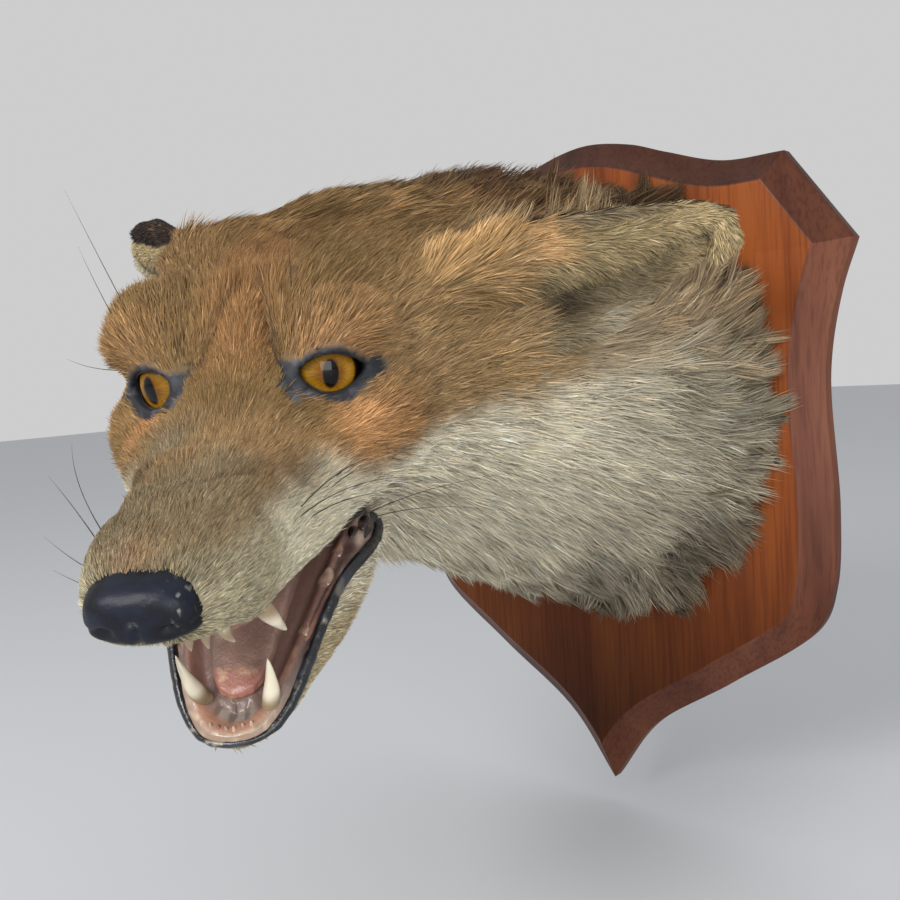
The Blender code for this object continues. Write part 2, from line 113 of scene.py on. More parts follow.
def noise(p, scale):
    """Smooth noise in -1..1 at points p (mm), features about `scale` mm."""
    q = np.asarray(p, np.float64) / scale + 100.0
    i = np.floor(q).astype(int)
    f = q - i
    f = f * f * (3 - 2 * f)
    out = 0
    for dx in (0, 1):
        wx = f[..., 0] if dx else 1 - f[..., 0]
        for dy in (0, 1):
            wy = f[..., 1] if dy else 1 - f[..., 1]
            for dz in (0, 1):
                wz = f[..., 2] if dz else 1 - f[..., 2]
                out = out + wx * wy * wz * NOISE[(i[..., 0] + dx) % 64, (i[..., 1] + dy) % 64, (i[..., 2] + dz) % 64]
    return out * 2 - 1


def fbm(p, scale, octaves=3):
    return sum(noise(p + 31.7 * o, scale / 2 ** o) * 0.5 ** o for o in range(octaves)) / 1.75


# ------------------------------------------------------------ tables of sections
# station F, centre L, half width, top U, bottom U, squareness, depth of the coat
HEAD_SECTIONS = [
    (75.5, -0.5, 7.0, -14.5, -25.0, 2.2, 0.6),
    (71.0, -0.5, 12.5, -11.0, -31.0, 2.5, 0.8),
    (62.0, -0.5, 15.5, -7.5, -37.0, 2.8, 1.4),
    (48.0, 0.0, 17.5, -5.5, -42.5, 2.8, 1.8),
    (36.0, 0.0, 20.5, -4.5, -44.5, 2.6, 2.1),
    (24.0, 0.0, 25.0, -2.0, -45.0, 2.4, 2.4),
    (12.0, -0.5, 32.5, 3.5, -44.5, 2.2, 2.8),
    (0.0, -0.5, 39.0, 10.0, -44.5, 2.1, 3.4),
    (-12.0, 1.0, 44.0, 18.5, -48.0, 2.1, 4.2),
    (-25.0, 4.5, 47.5, 26.5, -53.0, 2.1, 5.2),
    (-40.0, 6.5, 51.5, 31.5, -57.0, 2.1, 6.2),
    (-55.0, 7.0, 55.0, 35.0, -60.0, 2.1, 7.2),
    (-75.0, 7.0, 53.0, 37.5, -60.0, 2.0, 8.5),
    (-95.0, 8.0, 44.0, 35.0, -52.0, 2.0, 9.5),
]
# neck: y, centre x, centre z, half width, half height, depth of the coat
NECK_SECTIONS = [
    (-14.3, 11.0, 26.0, 64.0, 76.0, 13.0),
    (-20.0, 11.0, 26.5, 71.0, 82.0, 17.0),
    (-30.0, 10.0, 27.0, 73.5, 83.5, 17.5),
    (-45.0, 8.0, 29.5, 70.5, 79.0, 15.5),
    (-65.0, 5.0, 34.5, 67.5, 76.5, 13.5),
    (-90.0, 1.0, 40.8, 64.0, 72.5, 12.0),
    (-115.0, -4.5, 43.7, 61.5, 64.7, 10.5),
    (-140.0, -10.0, 44.0, 56.5, 55.0, 9.0),
    (-158.0, -11.0, 45.0, 43.0, 40.0, 8.5),
]
JAW_SECTIONS = [
    (57.5, 0.0, 6.0, -50.0, -66.0, 2.3, 0.8),
    (54.0, 0.0, 10.5, -47.0, -67.5, 2.5, 1.0),
    (46.0, 0.0, 15.0, -42.0, -69.0, 2.8, 1.6),
    (36.0, 0.0, 18.8, -36.0, -69.0, 2.8, 2.0),
    (24.0, 0.0, 24.5, -30.0, -69.0, 2.6, 2.6),
    (12.0, 0.0, 28.0, -28.0, -67.0, 2.4, 3.4),
    (0.0, 0.0, 29.0, -32.0, -65.0, 2.2, 4.5),
    (-18.0, 0.0, 28.0, -36.0, -64.0, 2.1, 5.5),
    (-32.0, 0.0, 24.0, -40.0, -62.0, 2.1, 6.5),
]
MOUTH_CORNER = (7.0, -36.5)
PALATE_FRONT = (75.0, -29.5)
JAW_FRONT = (58.0, -61.5)
LIP_SLOPE = (PALATE_FRONT[1] - MOUTH_CORNER[1]) / (PALATE_FRONT[0] - MOUTH_CORNER[0])
JAW_SLOPE = (JAW_FRONT[1] - MOUTH_CORNER[1]) / (JAW_FRONT[0] - MOUTH_CORNER[0])


def upper_lip(f):
    return MOUTH_CORNER[1] + LIP_SLOPE * (f - MOUTH_CORNER[0])


def lower_lip(f):
    return MOUTH_CORNER[1] + JAW_SLOPE * (f - MOUTH_CORNER[0])


def lip_edge(f):
    """The furred edge of the upper lip, drawn up under the nose by the snarl."""
    return upper_lip(f) + 4.6 * smooth(f, 56, 70)


# the black rim of the lower lip on the left side: F, L, U from the corner to the front
RIM_LOW = [(4.0, 24.6, -37.6), (0.8, 26.3, -40.3), (2.5, 27.2, -42.4), (8.5, 27.2, -42.8), (16.9, 25.6, -42.3),
           (23.0, 23.4, -42.8), (28.9, 21.1, -45.0), (33.9, 18.9, -48.4), (38.4, 17.1, -51.8), (42.8, 15.5, -54.8),
           (46.6, 13.9, -57.8), (50.5, 11.6, -60.8), (54.0, 8.6, -62.8), (56.4, 5.0, -63.5), (57.2, 0.0, -63.8)]
RIM_T = np.array(sorted((f, u) for f, l, u in RIM_LOW[2:]))


def rim_u(f):
    return np.interp(f, RIM_T[:, 0], RIM_T[:, 1])


def dense(rows):
    """Catmull-Rom through the rows, sorted for np.interp."""
    rows = np.array(rows, float)
    ends = np.vstack([2 * rows[0] - rows[1], rows, 2 * rows[-1] - rows[-2]])
    out = []
    for k in range(1, len(ends) - 2):
        p0, p1, p2, p3 = ends[k - 1:k + 3]
        for t in np.arange(8) / 8:
            out.append(0.5 * (2 * p1 + (p2 - p0) * t + (2 * p0 - 5 * p1 + 4 * p2 - p3) * t ** 2
                              + (3 * p1 - p0 - 3 * p2 + p3) * t ** 3))
    out.append(rows[-1])
    out = np.array(out)
    return out[np.argsort(out[:, 0])]


HEAD_T, NECK_T, JAW_T = dense(HEAD_SECTIONS), dense(NECK_SECTIONS), dense(JAW_SECTIONS)


def column(table, s, k):
    return np.interp(s, table[:, 0], table[:, k])


def section_field(table, s, l, u, coat=1.0):
    """Distance, in the section's own plane, to its outline; negative inside."""
    depth = column(table, s, 6) * coat
    half_w = column(table, s, 2) - depth
    top, bottom = column(table, s, 3) - depth, column(table, s, 4) + depth
    power = column(table, s, 5)
    x = l - column(table, s, 1)
    z = u - 0.5 * (top + bottom)
    rho = ((np.abs(x) / half_w) ** power + (np.abs(z) / (0.5 * (top - bottom))) ** power) ** (1 / power)
    q = np.hypot(x, z)
    return q - q / np.maximum(rho, 1e-3)


def ball(h, centre, radii):
    """Rough distance to an ellipsoid."""
    d = (h - np.asarray(centre, np.float32)) / np.asarray(radii, np.float32)
    k = np.sqrt((d ** 2).sum(-1))
    return (k - 1) * min(radii)


# ----------------------------------------------------------------------- eyes
EYE_R = 9.2
EYE_PUPIL = (3.0, 23.0, 0.3)
EYE_OUT, EYE_UP = math.radians(27.0), math.radians(4.0)


def eye_frame(side):
    """Centre of the eyeball, then its look, outward and upward axes, in head axes."""
    look = np.array([math.cos(EYE_OUT) * math.cos(EYE_UP), side * math.sin(EYE_OUT) * math.cos(EYE_UP),
                     math.sin(EYE_UP)])
    out = unit(np.cross(look, [0, 0, 1.0]) * -side)
    if out[1] * side < 0:
        out = -out
    tilt = math.radians(-10)
    upv = unit(np.cross(look, out))
    if upv[2] < 0:
        upv = -upv
    out, upv = math.cos(tilt) * out + math.sin(tilt) * upv, math.cos(tilt) * upv - math.sin(tilt) * out
    centre = np.array([EYE_PUPIL[0], side * EYE_PUPIL[1], EYE_PUPIL[2]]) - look * EYE_R
    return centre, look, out, upv


def lid_edges(x, grow=0.0):
    """Heights of the upper and lower lid edge at x mm outwards from the pupil."""
    inner, outer = -7.4 - grow, 9.6 + grow
    t = np.clip((x - inner) / (outer - inner), 0, 1)
    arch = (np.sin(np.pi * t ** 0.86)) ** 0.72
    return 0.5 + (4.5 + grow * 0.8) * arch, 0.5 - (5.2 + grow * 0.9) * arch ** 1.05


def eye_fields(h, side):
    """Fields round one eye: the hollow in front, the lids' ball, the opening."""
    centre, look, out, upv = eye_frame(side)
    d = h - centre.astype(np.float32)
    depth, x, z = d @ look, d @ out, d @ upv
    hollow = np.sqrt(((depth - EYE_R - 7.5) / 9.0) ** 2 + ((x - 1.0) / 14.5) ** 2 + (z / 9.5) ** 2)
    hollow = (hollow - 1) * 9.0
    r = np.sqrt((d ** 2).sum(-1))
    hi, lo = lid_edges(x)
    inside = np.maximum(z - hi, lo - z)
    inside = np.maximum(inside, np.maximum(-7.4 - x, x - 9.6) * 0.5)
    return hollow, r, inside, depth, x, z


# ----------------------------------------------------------------------- ears
# Each ear is a curled front roll (points and radii), a thin sheet behind it
# (rows from root to tip: lower edge, valley, upper edge) and a bent-over tip.
EARS = {
    "left": dict(
        roll=[(-42, 47, 9, 7.5), (-50, 61, 10, 8.0), (-56.5, 75.5, 9.0, 7.6), (-63, 87.6, 7.6, 7.2), (-70, 102.6, 8.6, 5.7),
              (-75, 113, 9.6, 4.4), (-78.6, 121, 10.8, 3.6)],
        tip=[(-78.6, 121.5, 10.6, 3.6), (-79.6, 126.5, 9.0, 4.0), (-79.4, 128.2, 4.2, 4.1), (-78.6, 126.0, 0.4, 3.0)],
        sheet=[((-48, 60, -15), (-52, 60, -2), (-46, 56, 17)), ((-55, 78, -15), (-60, 76, -2), (-57, 75, 18.6)),
               ((-60, 87.5, -14), (-66, 88, -2), (-63, 88, 17.6)), ((-65, 93.5, -11), (-69, 94, -1.5), (-66, 94, 17.2)),
               ((-70, 100.5, -8), (-74, 102, 1), (-70.5, 102, 16.6)), ((-74, 109, -4), (-77, 110, 3), (-74, 110, 15.8)),
               ((-77.5, 115.5, -1), (-79.5, 116, 4), (-77, 116, 15.0)), ((-80.5, 121, 0.6), (-82, 122, 6), (-80, 122.5, 13.6)),
               ((-82, 127, 2), (-83, 127, 6), (-82, 127, 10.5))],
        base=(-46, 54, 9), end=(-82, 130, 6), rim=(0.10, 0.10, 1.0), face=(0.80, 0.42, -0.30)),
    "right": dict(
        roll=[(-42, -23, 19, 4.6), (-55, -33, 19.5, 4.6), (-80, -50.5, 18.2, 4.2), (-98, -63, 17.6, 2.8), (-106, -68.5, 18.2, 1.6)],
        tip=[(-62, -36, 24.5, 2.8), (-76, -45, 25.6, 3.6), (-90, -56, 23.6, 3.0), (-104, -67, 20.6, 1.5)],
        sheet=[((-48, -30, 12), (-48, -26, 20), (-50, -26, 27)), ((-70, -46, 11), (-70, -42, 20), (-71, -41, 28.5)),
               ((-90, -60, 13), (-90, -56, 20), (-90, -55, 26.0)), ((-105, -69, 16), (-106, -67, 19), (-106, -67, 22.5))],
        base=(-46, -28, 20), end=(-106, -68, 20), rim=(0.05, 0.42, 0.90), face=(0.50, -0.80, 0.20)),
}


def chain(h, rows):
    """Distance to a string of tapered capsules."""
    rows = np.array(rows, float)
    best = np.full(h.shape[:-1], 99.0)
    for a_, b_ in zip(rows[:-1], rows[1:]):
        ab = b_[:3] - a_[:3]
        t = np.clip(((h - a_[:3]) @ ab) / (ab @ ab), 0, 1)
        d = np.linalg.norm(h - (a_[:3] + t[..., None] * ab), axis=-1) - (a_[3] + (b_[3] - a_[3]) * t)
        best = smin(best, d, 1.2)
    return best


def sheet_grid(rows, along=26, across=15):
    rows = np.array(rows, float)
    at = np.linspace(0, len(rows) - 1, along)
    line = np.stack([[np.interp(at, range(len(rows)), rows[:, k, c]) for c in range(3)] for k in range(3)])
    line = line.transpose(2, 0, 1)
    out = np.zeros((along, across, 3))
    for j, a_ in enumerate(np.linspace(-1, 1, across)):
        w0, w1, w2 = 0.5 * a_ * (a_ - 1), 1 - a_ * a_, 0.5 * a_ * (a_ + 1)
        out[:, j] = w0 * line[:, 0] + w1 * line[:, 1] + w2 * line[:, 2]
    return out


ear_trees = {}
for name, spec in EARS.items():
    grid = sheet_grid(spec["sheet"])
    na, nc = grid.shape[:2]
    faces = [(i * nc + j, i * nc + j + 1, (i + 1) * nc + j + 1, (i + 1) * nc + j) for i in range(na - 1) for j in range(nc - 1)]
    ear_trees[name] = (BVHTree.FromPolygons([tuple(q) for q in grid.reshape(-1, 3)], faces), grid)


def ear_field(name, h):
    """Distance to one ear from points in head axes."""
    spec = EARS[name]
    tree = ear_trees[name][0]
    sheet = np.full(len(h), 12.0)
    for k, q in enumerate(h):
        hit = tree.find_nearest(q, 8.0)
        if hit[3] is not None:
            sheet[k] = hit[3]
    d = sheet - (1.5 if name == "left" else 1.2)
    d = smin(d, chain(h, spec["roll"]), 1.5)
    return smin(d, chain(h, spec["tip"]), 1.6)


def ear_place(name, h):
    """How far along the ear a point is: 0 at the root, 1 at the tip."""
    base, end = np.array(EARS[name]["base"], float), np.array(EARS[name]["end"], float)
    return ((h - base) @ (end - base)) / ((end - base) @ (end - base))


# ----------------------------------------------------------- the skin as a field
def fold_field(h):
    """Height of the snarl's folds over the muzzle and of the brow's crease."""
    f, l, u = h[..., 0], h[..., 1], h[..., 2]
    al = np.abs(l)
    ridge = 34.5 - 0.0155 * al ** 2
    crease = 47.0 - 0.78 * np.sqrt(al * al + 9.0)
    gate = smooth(u, -27, -17) * smooth(f, 8, 16)
    out = 1.5 * bump(f - ridge, 0, 4.4) * smooth(al, 30, 23)
    out -= 0.9 * bump(f - crease, 0, 3.8) * smooth(al, 28, 20) * (0.3 + 0.7 * smooth(al, 2, 10))
    out += 0.8 * bump(f - crease, 7.0, 4.0) * smooth(al, 22, 15)
    out -= 0.5 * bump(f - crease, 13.0, 3.0) * smooth(al, 18, 12)
    out -= 0.7 * bump(f - ridge, -8.0, 3.4) * smooth(al, 27, 18)
    out = out * gate
    # the whisker pad swells, parted from the bridge by a shallow groove
    out -= 1.0 * bump(al, 10.5, 2.2) * smooth(f, 46, 54) * smooth(f, 70, 60) * smooth(u, -20, -10)
    # dip between the far cheek and the whisker pad
    out -= 2.4 * np.exp(-(((f - 37.0) / 4.0) ** 2)) * smooth(-l, 13, 18) * smooth(u, -26, -16)
    # folds on the cheek behind the mouth's corner
    for f0, amp in ((4.0, 1.0), (-3.0, 0.8), (-10.0, 0.6)):
        out += amp * bump(f + 0.55 * (u + 30), f0, 2.6) * smooth(u, -46, -38) * smooth(u, -12, -22) * smooth(al, 22, 28)
    # creases beside the middle of the brow
    for side, amp in ((1, 2.8), (-1, 1.4)):
        t = np.clip((f + 16) / 20.0, 0, 1)
        near = l - side * (3.4 + 6.4 * t)
        out -= amp * np.exp(-(near / 1.9) ** 2) * smooth(f, -19, -12) * smooth(f, 8, 2) * smooth(u, -2, 4)
    return out


def skin_field(p):
    """Signed distance, roughly, to the skin at world points p in mm."""
    h = ((p - HEAD_AT.astype(np.float32)) @ AXES.T.astype(np.float32)).astype(np.float32)
    f, l, u = h[..., 0], h[..., 1], h[..., 2]
    d = section_field(HEAD_T, f, l, u)
    d = np.maximum(d, f - 75.0)
    d = np.maximum(d, -97.0 - f)
    for side in (1, -1):
        d = smin(d, ball(h, (-11, side * 24, 7.5), (12, 11.5, 8.0)), 6.0)
        d = smin(d, ball(h, (-16, side * 30, -15), (17, 10, 9)), 6.0)
        d = smin(d, ball(h, (54, side * 9.6, -19.0), (17, 8.5, 10.5)), 5.0)
    d = smin(d, ball(h, (-23, -27, 11), (14, 11.5, 9.5)), 7.0)
    d = smin(d, ball(h, (-54, -17, 11.5), (26, 18, 17.5)), 7.0)
    d = d - fold_field(h)
    # open the mouth: nothing below the upper lip line ahead of the corner
    d = smax(d, np.minimum(lip_edge(f) - u, np.float32(90)) * smooth(f, 4.5, 6.5) - 40 * (1 - smooth(f, 4.5, 6.5)), 1.6)
    # palate hollow
    wide = column(HEAD_T, f, 2) - 6.0
    roof = np.maximum(np.maximum(np.abs(l) - wide, u - lip_edge(f) - 5.0), f - 63.0)
    roof = np.maximum(roof, -6.0 - f)
    d = smax(d, -roof, 2.0)
    # neck
    y = p[..., 1]
    depth = column(NECK_T, y, 5)
    half_w, half_h = column(NECK_T, y, 3) - depth, column(NECK_T, y, 4) - 0.72 * depth
    x, z = p[..., 0] - column(NECK_T, y, 1), p[..., 2] - column(NECK_T, y, 2) - 0.2 * depth
    rho = np.sqrt((x / half_w) ** 2 + (z / half_h) ** 2)
    q = np.hypot(x, z)
    n = q - q / np.maximum(rho, 1e-3)
    n = np.maximum(n, -159.0 - y)
    d = smin(d, n, 12.0)
    # lower jaw with its trough
    j = section_field(JAW_T, f, l, u)
    j = np.maximum(j, f - 56.8)
    j = np.maximum(j, -36.0 - f)
    j = smax(j, u - rim_u(f) - 0.2, 1.2)
    wide = column(JAW_T, f, 2) - 5.0
    trough = np.maximum(np.maximum(np.abs(l) - wide, lower_lip(f) - 4.6 - u), f - 51.5)
    j = smax(j, -trough, 1.6)
    d = smin(d, j, 3.0)
    # throat, seen dark at the back of the mouth
    d = smax(d, -ball(h, (4, 0, -40.5), (17, 19, 6.5)), 2.0)
    # eyes: hollow, lids over the ball, then the opening
    for side in (1, -1):
        hollow, r, inside, depth_e, x_e, z_e = eye_fields(h, side)
        d = smax(d, -hollow, 4.0)
        rim = 1.7 + 0.5 * bump(inside, 0.9, 1.0)
        lids = np.maximum(r - (EYE_R + rim), -depth_e - 2.0)
        lids = np.maximum(lids, inside - 7.0)
        d = smin(d, lids, 3.0)
        d = np.maximum(d, -np.maximum(inside + 0.1, -depth_e + 1.0))
        d = np.maximum(d, EYE_R + 0.12 - r)
    # nose: a seat for the pad
    d = smax(d, -ball(h, (75.5, -1.1, -17.5), (9.0, 10.2, 5.0)), 1.0)
    # the board
    d = np.maximum(d, y + 14.06)
    return d


def surface_nets(f, origin, step):
    """Quads on the zero level of a grid of values; faces look outwards."""
    s = f < 0
    nx, ny, nz = f.shape
    count = np.zeros((nx - 1, ny - 1, nz - 1), np.uint8)
    for dx in (0, 1):
        for dy in (0, 1):
            for dz in (0, 1):
                count += s[dx:nx - 1 + dx, dy:ny - 1 + dy, dz:nz - 1 + dz]
    active = (count > 0) & (count < 8)
    index = np.full(active.shape, -1, np.int64)
    cells = np.argwhere(active)
    index[active] = np.arange(len(cells))
    total, n = np.zeros((len(cells), 3)), np.zeros(len(cells))
    corners = [(x, y, z) for x in (0, 1) for y in (0, 1) for z in (0, 1)]
    for a in corners:
        for b in corners:
            if a < b and sum(abs(i - j) for i, j in zip(a, b)) == 1:
                fa = f[tuple((cells + a).T)]
                fb = f[tuple((cells + b).T)]
                m = (fa < 0) != (fb < 0)
                t = fa[m] / (fa[m] - fb[m])
                total[m] += np.array(a) + (np.array(b) - np.array(a)) * t[:, None]
                n[m] += 1
    verts = origin + step * (cells + total / n[:, None])
    quads = []
    for axis in range(3):
        b, c = (axis + 1) % 3, (axis + 2) % 3
        lo, hi = [slice(None)] * 3, [slice(None)] * 3
        lo[axis], hi[axis] = slice(0, -1), slice(1, None)
        change = s[tuple(lo)] != s[tuple(hi)]
        g = np.argwhere(change)
        g = g[(g[:, b] > 0) & (g[:, c] > 0) & (g[:, b] < f.shape[b] - 1) & (g[:, c] < f.shape[c] - 1)]
        eb, ec = np.eye(3, dtype=int)[b], np.eye(3, dtype=int)[c]
        q = np.stack([index[tuple((g - eb - ec).T)], index[tuple((g - ec).T)],
                      index[tuple(g.T)], index[tuple((g - eb).T)]], 1)
        inside = s[tuple(g.T)]
        q[~inside] = q[~inside][:, ::-1]
        quads.append(q)
    return verts, np.concatenate(quads)


def mesh_object(name, verts_mm, faces, material, smooth_shade=True):
    """Mesh from numpy arrays; faces is (n, k) or a list of such arrays."""
    faces = faces if isinstance(faces, list) else [faces]
    mesh = bpy.data.meshes.new(name)
    mesh.vertices.add(len(verts_mm))
    mesh.vertices.foreach_set("co", (np.asarray(verts_mm) * MM).astype(np.float32).ravel())
    loops = np.concatenate([f.ravel() for f in faces]).astype(np.int32)
    sizes = np.concatenate([np.full(len(f), f.shape[1]) for f in faces]).astype(np.int32)
    mesh.loops.add(len(loops))
    mesh.loops.foreach_set("vertex_index", loops)
    mesh.polygons.add(len(sizes))
    mesh.polygons.foreach_set("loop_start", np.concatenate([[0], np.cumsum(sizes)[:-1]]).astype(np.int32))
    mesh.update(calc_edges=True)
    if smooth_shade:
        mesh.shade_smooth()
    if material:
        mesh.materials.append(material)
    obj = bpy.data.objects.new(name, mesh)
    scene.collection.objects.link(obj)
    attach(obj, "root")
    return obj


def paint(obj, colours, name="Col"):
    layer = obj.data.color_attributes.new(name, "FLOAT_COLOR", "POINT")
    rgba = np.ones((len(obj.data.vertices), 4), np.float32)
    rgba[:, :3] = colours
    layer.data.foreach_set("color", rgba.ravel())


STEP = 1.25
low = np.array([-76.0, -262.0, -64.0])
high = np.array([100.0, -11.0, 116.0])
shape = np.ceil((high - low) / STEP).astype(int)
field = np.empty(shape, np.float32)
ys = low[1] + STEP * np.arange(shape[1])
zs = low[2] + STEP * np.arange(shape[2])
gy, gz = np.meshgrid(ys, zs, indexing="ij")
for i in range(shape[0]):
    pts = np.stack([np.full_like(gy, low[0] + STEP * i), gy, gz], -1).astype(np.float32)
    field[i] = skin_field(pts)
# the ears join the skin
for name in EARS:
    reach_pts = np.concatenate([ear_trees[name][1].reshape(-1, 3), np.array(EARS[name]["roll"])[:, :3], np.array(EARS[name]["tip"])[:, :3]])
    reach_w = to_world(reach_pts)
    a = np.maximum(((reach_w.min(0) - 11 - low) / STEP).astype(int), 0)
    b = np.minimum(((reach_w.max(0) + 11 - low) / STEP).astype(int) + 1, shape)
    idx = np.stack(np.meshgrid(*[np.arange(a[k], b[k]) for k in range(3)], indexing="ij"), -1).reshape(-1, 3)
    pts = to_head(low + STEP * idx)
    ear = ear_field(name, pts)
    at = tuple(idx.T)
    blend = 1.5 + 4.5 * smooth(ear_place(name, pts), 0.35, 0.0)
    field[at] = smin(field[at], ear.astype(np.float32), blend.astype(np.float32))
verts, quads = surface_nets(field, low, STEP)


def field_at(p):
    """Distance to the skin at world points p, read from the grid."""
    q = (p - low) / STEP
    k = np.clip(q.astype(int), 0, shape - 2)
    t = np.clip(q - k, 0, 1)
    out = 0
    for a in (0, 1):
        for b in (0, 1):
            for c in (0, 1):
                share = (t[:, 0] if a else 1 - t[:, 0]) * (t[:, 1] if b else 1 - t[:, 1]) * (t[:, 2] if c else 1 - t[:, 2])
                out = out + share * field[k[:, 0] + a, k[:, 1] + b, k[:, 2] + c]
    return out


used = np.zeros(len(verts), bool)
used[quads.ravel()] = True
# keep the one big body
parent = np.arange(len(verts))
label = np.arange(len(verts))
edges = np.concatenate([quads[:, [0, 1]], quads[:, [1, 2]], quads[:, [2, 3]]])
for _ in range(400):
    before = label.copy()
    low_label = np.minimum(label[edges[:, 0]], label[edges[:, 1]])
    np.minimum.at(label, edges[:, 0], low_label)
    np.minimum.at(label, edges[:, 1], low_label)
    label = label[label]
    if (label == before).all():
        break
values, counts = np.unique(label[used], return_counts=True)
main = values[counts.argmax()]
keep = label == main
quads = quads[keep[quads[:, 0]]]
new = np.cumsum(keep) - 1
verts, quads = verts[keep], new[quads]
print("skin", len(verts), len(quads))


# ------------------------------------------------------------------ colours
def srgb(*c):
    c = np.array(c, float) / 255
    return np.where(c <= 0.04045, c / 12.92, ((c + 0.055) / 1.055) ** 2.4)


def mix(a, b, t):
    t = np.asarray(t)[..., None]
    return a * (1 - t) + b * t


C = dict(
    muzzle=srgb(118, 108, 86), bridge=srgb(142, 114, 80), bed=srgb(198, 190, 166), pale=srgb(204, 196, 174),
    orange=srgb(176, 128, 86), rust=srgb(146, 106, 68), brow=srgb(136, 106, 70), grizzle=srgb(120, 96, 62),
    dark=srgb(92, 74, 52), cheek=srgb(160, 132, 94), cream=srgb(182, 174, 152), grey=srgb(136, 128, 112),
    nape=srgb(88, 64, 42), ear=srgb(160, 142, 106), ear_back=srgb(40, 30, 26), ear_in=srgb(126, 112, 88),
    chin=srgb(176, 160, 126), leather=srgb(26, 28, 34), gum=srgb(150, 112, 96), mouth=srgb(112, 78, 66),
)


